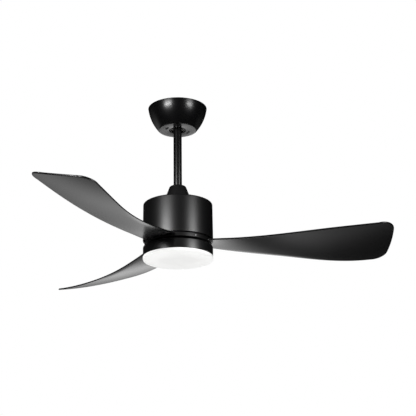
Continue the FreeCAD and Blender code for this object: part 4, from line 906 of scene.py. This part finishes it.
def blade_grid(rim_radius, edge):
    """Plan points of a blade, row by row from root to tip."""
    def root_u(w):
        return math.sqrt(rim_radius ** 2 - w ** 2)

    lead_start, trail_start = root_u(ROOT_LEAD_W), root_u(ROOT_TRAIL_W)
    rows = 70
    lead = smooth_line(LEAD_EDGE, (lead_start, LEAD_EDGE[-1][0], rows))
    trail = smooth_line(TRAIL_EDGE, (trail_start, TRAIL_EDGE[-1][0], rows))
    corner_rows = 26
    lead += arc_points(*LEAD_CORNER, corner_rows)[1:]
    trail += arc_points(*TRAIL_CORNER, corner_rows)[1:]
    bulge = BLADE_TIP_U - (LEAD_CORNER[-1][0] + TRAIL_CORNER[-1][0]) / 2
    bands = [0.0, 0.12, 0.35, 0.65, 1.0, 1.6]
    plan = []
    last = len(lead) - 1

    def add_row(start, end, root_share, tip_share, pull):
        width = math.hypot(end[0] - start[0], end[1] - start[1])
        near = [edge * band / width for band in bands]
        middle = list(np.linspace(near[-1], 1 - near[-1], 27))[1:-1]
        row = []
        for v in near + middle + [1 - value for value in reversed(near)]:
            u = start[0] + (end[0] - start[0]) * v
            w = start[1] + (end[1] - start[1]) * v
            u += bulge * 4 * v * (1 - v) * tip_share - pull
            if root_share:
                u += (root_u(w) - u) * root_share
            row.append((u, w))
        plan.append(row)

    for index in range(last + 1):
        root_share = max(0.0, 1 - index / 12) ** 2
        tip_share = max(0.0, (index - rows) / corner_rows)
        if index == last:
            for band in reversed(bands[1:]):
                add_row(lead[index], trail[index], 0, 1, edge * band)
        add_row(lead[index], trail[index], root_share, tip_share, 0.0)
    return np.array(plan)


def distance_to_line(points, line):
    """Shortest plan distance from each point to an open line."""
    start, end = line[:-1], line[1:]
    along = end - start
    length = (along ** 2).sum(1)
    best = np.full(len(points), 1e9)
    for index in range(len(along)):
        offset = points - start[index]
        share = np.clip((offset @ along[index]) / max(length[index], 1e-15), 0, 1)
        best = np.minimum(best, np.hypot(*(offset - share[:, None] * along[index]).T))
    return best


class FAN_OT_blades(bpy.types.Operator):
    """Adds the three twisted blades with rounded edges and their root tongues"""

    bl_idname = "fan.add_blades"
    bl_label = "Blades"

    def execute(self, context):
        sizes = context.scene.fan_sizes
        low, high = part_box("blade_carrier")
        middle = (low.z + high.z) / 2
        plan = blade_grid(high.x + BLADE_GAP, sizes.blade_edge)
        rows, columns, _ = plan.shape
        flat = plan.reshape(-1, 2)
        outline = np.concatenate([plan[:, 0], plan[-1, 1:], plan[::-1, -1][1:]])
        away = np.minimum(distance_to_line(flat, outline), sizes.blade_edge)
        fall = sizes.blade_edge - np.sqrt(sizes.blade_edge ** 2 - (sizes.blade_edge - away) ** 2)
        half = sizes.blade_thickness / 2 - fall
        centre = middle + blade_middle(flat[:, 0], flat[:, 1], sizes.blade_dish)
        trail = np.minimum(distance_to_line(flat, plan[:, -1]), RELIEF_REACH)
        span = np.exp(-((flat[:, 0] - RELIEF_U) / RELIEF_SPAN) ** 2)
        relief = sizes.blade_relief * span * (1 - trail / RELIEF_REACH) ** 2
        for index in range(3):
            turn = Matrix.Rotation(sizes.blade_azimuth + math.tau * index / 3, 4, "Z")
            mesh = bmesh.new()
            self.add_sheet(mesh, flat, centre + half, centre - half + relief, rows, columns, turn)
            add_prism(mesh, BLADE_TONGUE, middle - TONGUE_HALF_HEIGHT, middle + TONGUE_HALF_HEIGHT, turn)
            piece = piece_from_bmesh(f"blade_skin_{index + 1}", mesh, 50.0)
            finish_piece(piece, "blade_black", "rotor", f"blade_{index + 1}")
        return {"FINISHED"}

    def add_sheet(self, mesh, flat, upper, lower, rows, columns, turn):
        """Upper and lower skins of one blade, closed around its outline."""
        skins = []
        for heights in (upper, lower):
            skins.append([mesh.verts.new(turn @ Vector((u, w, z))) for (u, w), z in zip(flat, heights)])
        for skin in skins:
            for row in range(rows - 1):
                for column in range(columns - 1):
                    first = row * columns + column
                    corners = (first, first + 1, first + columns + 1, first + columns)
                    mesh.faces.new([skin[corner] for corner in corners])
        loop = [row * columns for row in range(rows)]
        loop += [(rows - 1) * columns + column for column in range(1, columns)]
        loop += [row * columns + columns - 1 for row in range(rows - 2, -1, -1)]
        loop += [column for column in range(columns - 2, 0, -1)]
        for first, second in zip(loop, loop[1:] + loop[:1]):
            mesh.faces.new([skins[0][first], skins[0][second], skins[1][second], skins[1][first]])


# ---------------------------------------------------------------- frame nodes that stay as they are

class FAN_OT_node_finishes(bpy.types.Operator):
    """Gives each frame node that stays visible the finish of its material slot"""

    bl_idname = "fan.add_node_finishes"
    bl_label = "Finishes of inner pieces"

    def execute(self, context):
        finishes = slot_finishes()
        slots = {entry["node"]: entry["material_slot"] for entry in frame["record"]["subparts"]}
        for name, node in frame["nodes"].items():
            node.data.materials.clear()
            node.data.materials.append(finishes[slots[name]])
        return {"FINISHED"}


# ---------------------------------------------------------------- stage

FLOOR_HALF_SIZE = 90.0
FLOOR_TONE = (0.86, 0.86, 0.86)

# Soft boxes in front of the fan: name, azimuth from -Y, width, and radiance of the upper and lower box.
SOFT_BOXES = (("left", -37, 1.15, 2.3, 29.0), ("right", 47, 0.9, 3.2, 18.0))
BOX_DISTANCE = 2.2
UPPER_BOX_Z, UPPER_BOX_HEIGHT = 0.21, 0.44
LOWER_BOX_Z, LOWER_BOX_HEIGHT, LOWER_BOX_WIDTH_SHARE = -0.18, 0.30, 0.85
TOP_LIGHT_Z, TOP_LIGHT_SIZE, TOP_LIGHT_RADIANCE = 3.5, 5.0, 2.0

# What reflections see: grey level by height, then by side, of the direction, each from 0 to 1.
HEIGHT_STOPS = (
    (0.0, 0.2), (0.05, 0.55), (0.095, 0.45), (0.128, 0.09), (0.15, 0.012), (0.23, 0.012), (0.30, 0.09),
    (0.335, 0.15), (0.37, 0.20), (0.40, 0.23), (0.43, 0.18), (0.465, 0.10), (0.53, 0.06), (0.58, 0.02),
    (0.62, 0.005))
SIDE_STOPS = (
    (0.0, 0.10), (0.33, 0.28), (0.40, 0.45), (0.465, 0.52), (0.49, 0.8), (0.505, 1.0), (0.53, 1.0),
    (0.565, 0.5), (0.60, 0.18), (0.68, 0.06), (1.0, 0.03))
BEHIND_START, BEHIND_FULL, FRONT_SHARE = 0.15, 0.5, 0.003
REFLECTED_STRENGTH = 10.0
EVEN_STRENGTH = 0.65


class FAN_OT_stage(bpy.types.Operator):
    """Adds the floor, the soft lights, the surroundings and the camera"""

    bl_idname = "fan.add_stage"
    bl_label = "Stage"

    def execute(self, context):
        stage = context.scene.fan_stage
        self.add_floor(stage)
        self.add_lights()
        self.add_surroundings(context.scene)
        self.add_camera(context.scene, stage)
        return {"FINISHED"}

    def add_floor(self, stage):
        """Large pale floor far below the fan."""
        mesh = bmesh.new()
        bmesh.ops.create_grid(mesh, x_segments=8, y_segments=8, size=FLOOR_HALF_SIZE)
        floor = piece_from_bmesh("floor", mesh)
        floor.location = (0, 0, -stage.room_height)
        floor.data.materials.append(finish("pale_floor", FLOOR_TONE, 0.7, tone=0.02, gloss_change=0.02,
                                           grain=60.0, bump=0.0001, tone_scale=0.8))
        floor.visible_glossy = False

    def add_light(self, name, place, target, width, height, radiance, glossy=True):
        """Soft rectangular light that looks at a point, as bright at any size."""
        data = bpy.data.lights.new(name, "AREA")
        data.shape = "RECTANGLE"
        data.size = width
        data.size_y = height
        data.energy = radiance * math.pi * width * height
        light = bpy.data.objects.new(name, data)
        light.location = place
        light.rotation_euler = (Vector(target) - Vector(place)).to_track_quat("-Z", "Y").to_euler()
        light.visible_camera = False
        light.visible_glossy = glossy
        bpy.context.scene.collection.objects.link(light)

    def add_lights(self):
        """Two pairs of soft boxes in front of the fan and a broad light above."""
        for side, turn, width, upper, lower in SOFT_BOXES:
            azimuth = math.radians(turn)
            x, y = BOX_DISTANCE * math.sin(azimuth), -BOX_DISTANCE * math.cos(azimuth)
            self.add_light(f"{side}_box", (x, y, UPPER_BOX_Z), (0, 0, UPPER_BOX_Z), width,
                           UPPER_BOX_HEIGHT, upper)
            self.add_light(f"{side}_low_box", (x, y, LOWER_BOX_Z), (0, 0, LOWER_BOX_Z),
                           width * LOWER_BOX_WIDTH_SHARE, LOWER_BOX_HEIGHT, lower)
        self.add_light("top_light", (0, 0, TOP_LIGHT_Z), (0, 0, 0), TOP_LIGHT_SIZE, TOP_LIGHT_SIZE,
                       TOP_LIGHT_RADIANCE, glossy=False)

    def add_surroundings(self, scene):
        """White for the camera, even light for matte faces, and a banded glow behind for reflections."""
        world = bpy.data.worlds.new("surroundings")
        scene.world = world
        world.use_nodes = True
        tree = world.node_tree
        tree.nodes.clear()
        output = tree.nodes.new("ShaderNodeOutputWorld")
        place = tree.nodes.new("ShaderNodeTexCoord")
        split = tree.nodes.new("ShaderNodeSeparateXYZ")
        tree.links.new(place.outputs["Generated"], split.inputs[0])
        level = math_node(tree, "MULTIPLY_ADD", split.outputs["Z"], 0.5, 0.5)
        across = math_node(tree, "MULTIPLY_ADD", split.outputs["X"], 0.5, 0.5)
        side_light = grey_ramp(tree, across, SIDE_STOPS)
        behind = tree.nodes.new("ShaderNodeMapRange")
        behind.interpolation_type = "SMOOTHSTEP"
        behind.inputs["From Min"].default_value = BEHIND_START
        behind.inputs["From Max"].default_value = BEHIND_FULL
        behind.inputs["To Min"].default_value = FRONT_SHARE
        tree.links.new(split.outputs["Y"], behind.inputs["Value"])
        shaded = math_node(tree, "MULTIPLY", behind.outputs["Result"], side_light)
        glow = self.background(tree, math_node(tree, "MULTIPLY", shaded, REFLECTED_STRENGTH))
        tree.links.new(grey_ramp(tree, level, HEIGHT_STOPS), glow.node.inputs["Color"])
        path = tree.nodes.new("ShaderNodeLightPath")
        shown = glow
        for ray, strength in (("Is Diffuse Ray", EVEN_STRENGTH), ("Is Camera Ray", 1.0)):
            choose = tree.nodes.new("ShaderNodeMixShader")
            tree.links.new(path.outputs[ray], choose.inputs["Fac"])
            tree.links.new(shown, choose.inputs[1])
            tree.links.new(self.background(tree, strength), choose.inputs[2])
            shown = choose.outputs[0]
        tree.links.new(shown, output.inputs["Surface"])
        scene.view_settings.view_transform = "Standard"

    def background(self, tree, strength):
        """White background with a linked or a fixed strength."""
        node = tree.nodes.new("ShaderNodeBackground")
        node.inputs["Color"].default_value = (1, 1, 1, 1)
        if isinstance(strength, float):
            node.inputs["Strength"].default_value = strength
        else:
            tree.links.new(strength, node.inputs["Strength"])
        return node.outputs[0]

    def add_camera(self, scene, stage):
        """Camera below the fan, looking up at the blades' roots."""
        low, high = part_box("blade_carrier")
        hub = Vector((0, 0, (low.z + high.z) / 2))
        away = Vector((0, -math.cos(stage.camera_elevation), math.sin(stage.camera_elevation)))
        data = bpy.data.cameras.new("camera")
        data.lens = stage.lens
        data.sensor_width = 36.0
        data.shift_x = stage.shift_x
        data.shift_y = stage.shift_y
        data.clip_end = 200.0
        camera = bpy.data.objects.new("camera", data)
        camera.location = hub + away * stage.camera_distance
        look = (-away).to_track_quat("-Z", "Y").to_matrix().to_4x4()
        camera.rotation_euler = (look @ Matrix.Rotation(stage.camera_roll, 4, "Z")).to_euler()
        scene.collection.objects.link(camera)
        scene.camera = camera


# ---------------------------------------------------------------- panel and registration

class FAN_PT_panel(bpy.types.Panel):
    """Sidebar panel with every step of the fan"""

    bl_label = "Ceiling Fan"
    bl_idname = "FAN_PT_panel"
    bl_space_type = "VIEW_3D"
    bl_region_type = "UI"
    bl_category = "Ceiling Fan"

    def draw(self, context):
        layout = self.layout
        for settings in (context.scene.fan_sizes, context.scene.fan_colours, context.scene.fan_stage):
            box = layout.box()
            for name in settings.__annotations__:
                box.prop(settings, name)
        for operator in STEPS:
            layout.operator(operator.bl_idname)


SETTINGS = (FanSizes, FanColours, StageSettings)
STEPS = (FAN_OT_node_finishes, FAN_OT_canopy, FAN_OT_visible_screws, FAN_OT_downrod, FAN_OT_coupling_cover,
         FAN_OT_motor_housing, FAN_OT_blade_carrier, FAN_OT_light, FAN_OT_blades, FAN_OT_stage)


def register():
    """Adds the classes and their settings to Blender."""
    for settings in SETTINGS:
        bpy.utils.register_class(settings)
    for operator in STEPS:
        bpy.utils.register_class(operator)
    bpy.utils.register_class(FAN_PT_panel)
    bpy.types.Scene.fan_sizes = PointerProperty(type=FanSizes)
    bpy.types.Scene.fan_colours = PointerProperty(type=FanColours)
    bpy.types.Scene.fan_stage = PointerProperty(type=StageSettings)


def unregister():
    """Takes the classes and their settings out of Blender."""
    del bpy.types.Scene.fan_stage
    del bpy.types.Scene.fan_colours
    del bpy.types.Scene.fan_sizes
    bpy.utils.unregister_class(FAN_PT_panel)
    for operator in reversed(STEPS):
        bpy.utils.unregister_class(operator)
    for settings in reversed(SETTINGS):
        bpy.utils.unregister_class(settings)


def main():
    """Builds every piece in order."""
    register()
    bpy.ops.fan.add_node_finishes()
    bpy.ops.fan.add_canopy()
    bpy.ops.fan.add_visible_screws()
    bpy.ops.fan.add_downrod()
    bpy.ops.fan.add_coupling_cover()
    bpy.ops.fan.add_motor_housing()
    bpy.ops.fan.add_blade_carrier()
    bpy.ops.fan.add_light()
    bpy.ops.fan.add_blades()
    bpy.ops.fan.add_stage()


if __name__ == "__main__":
    main()
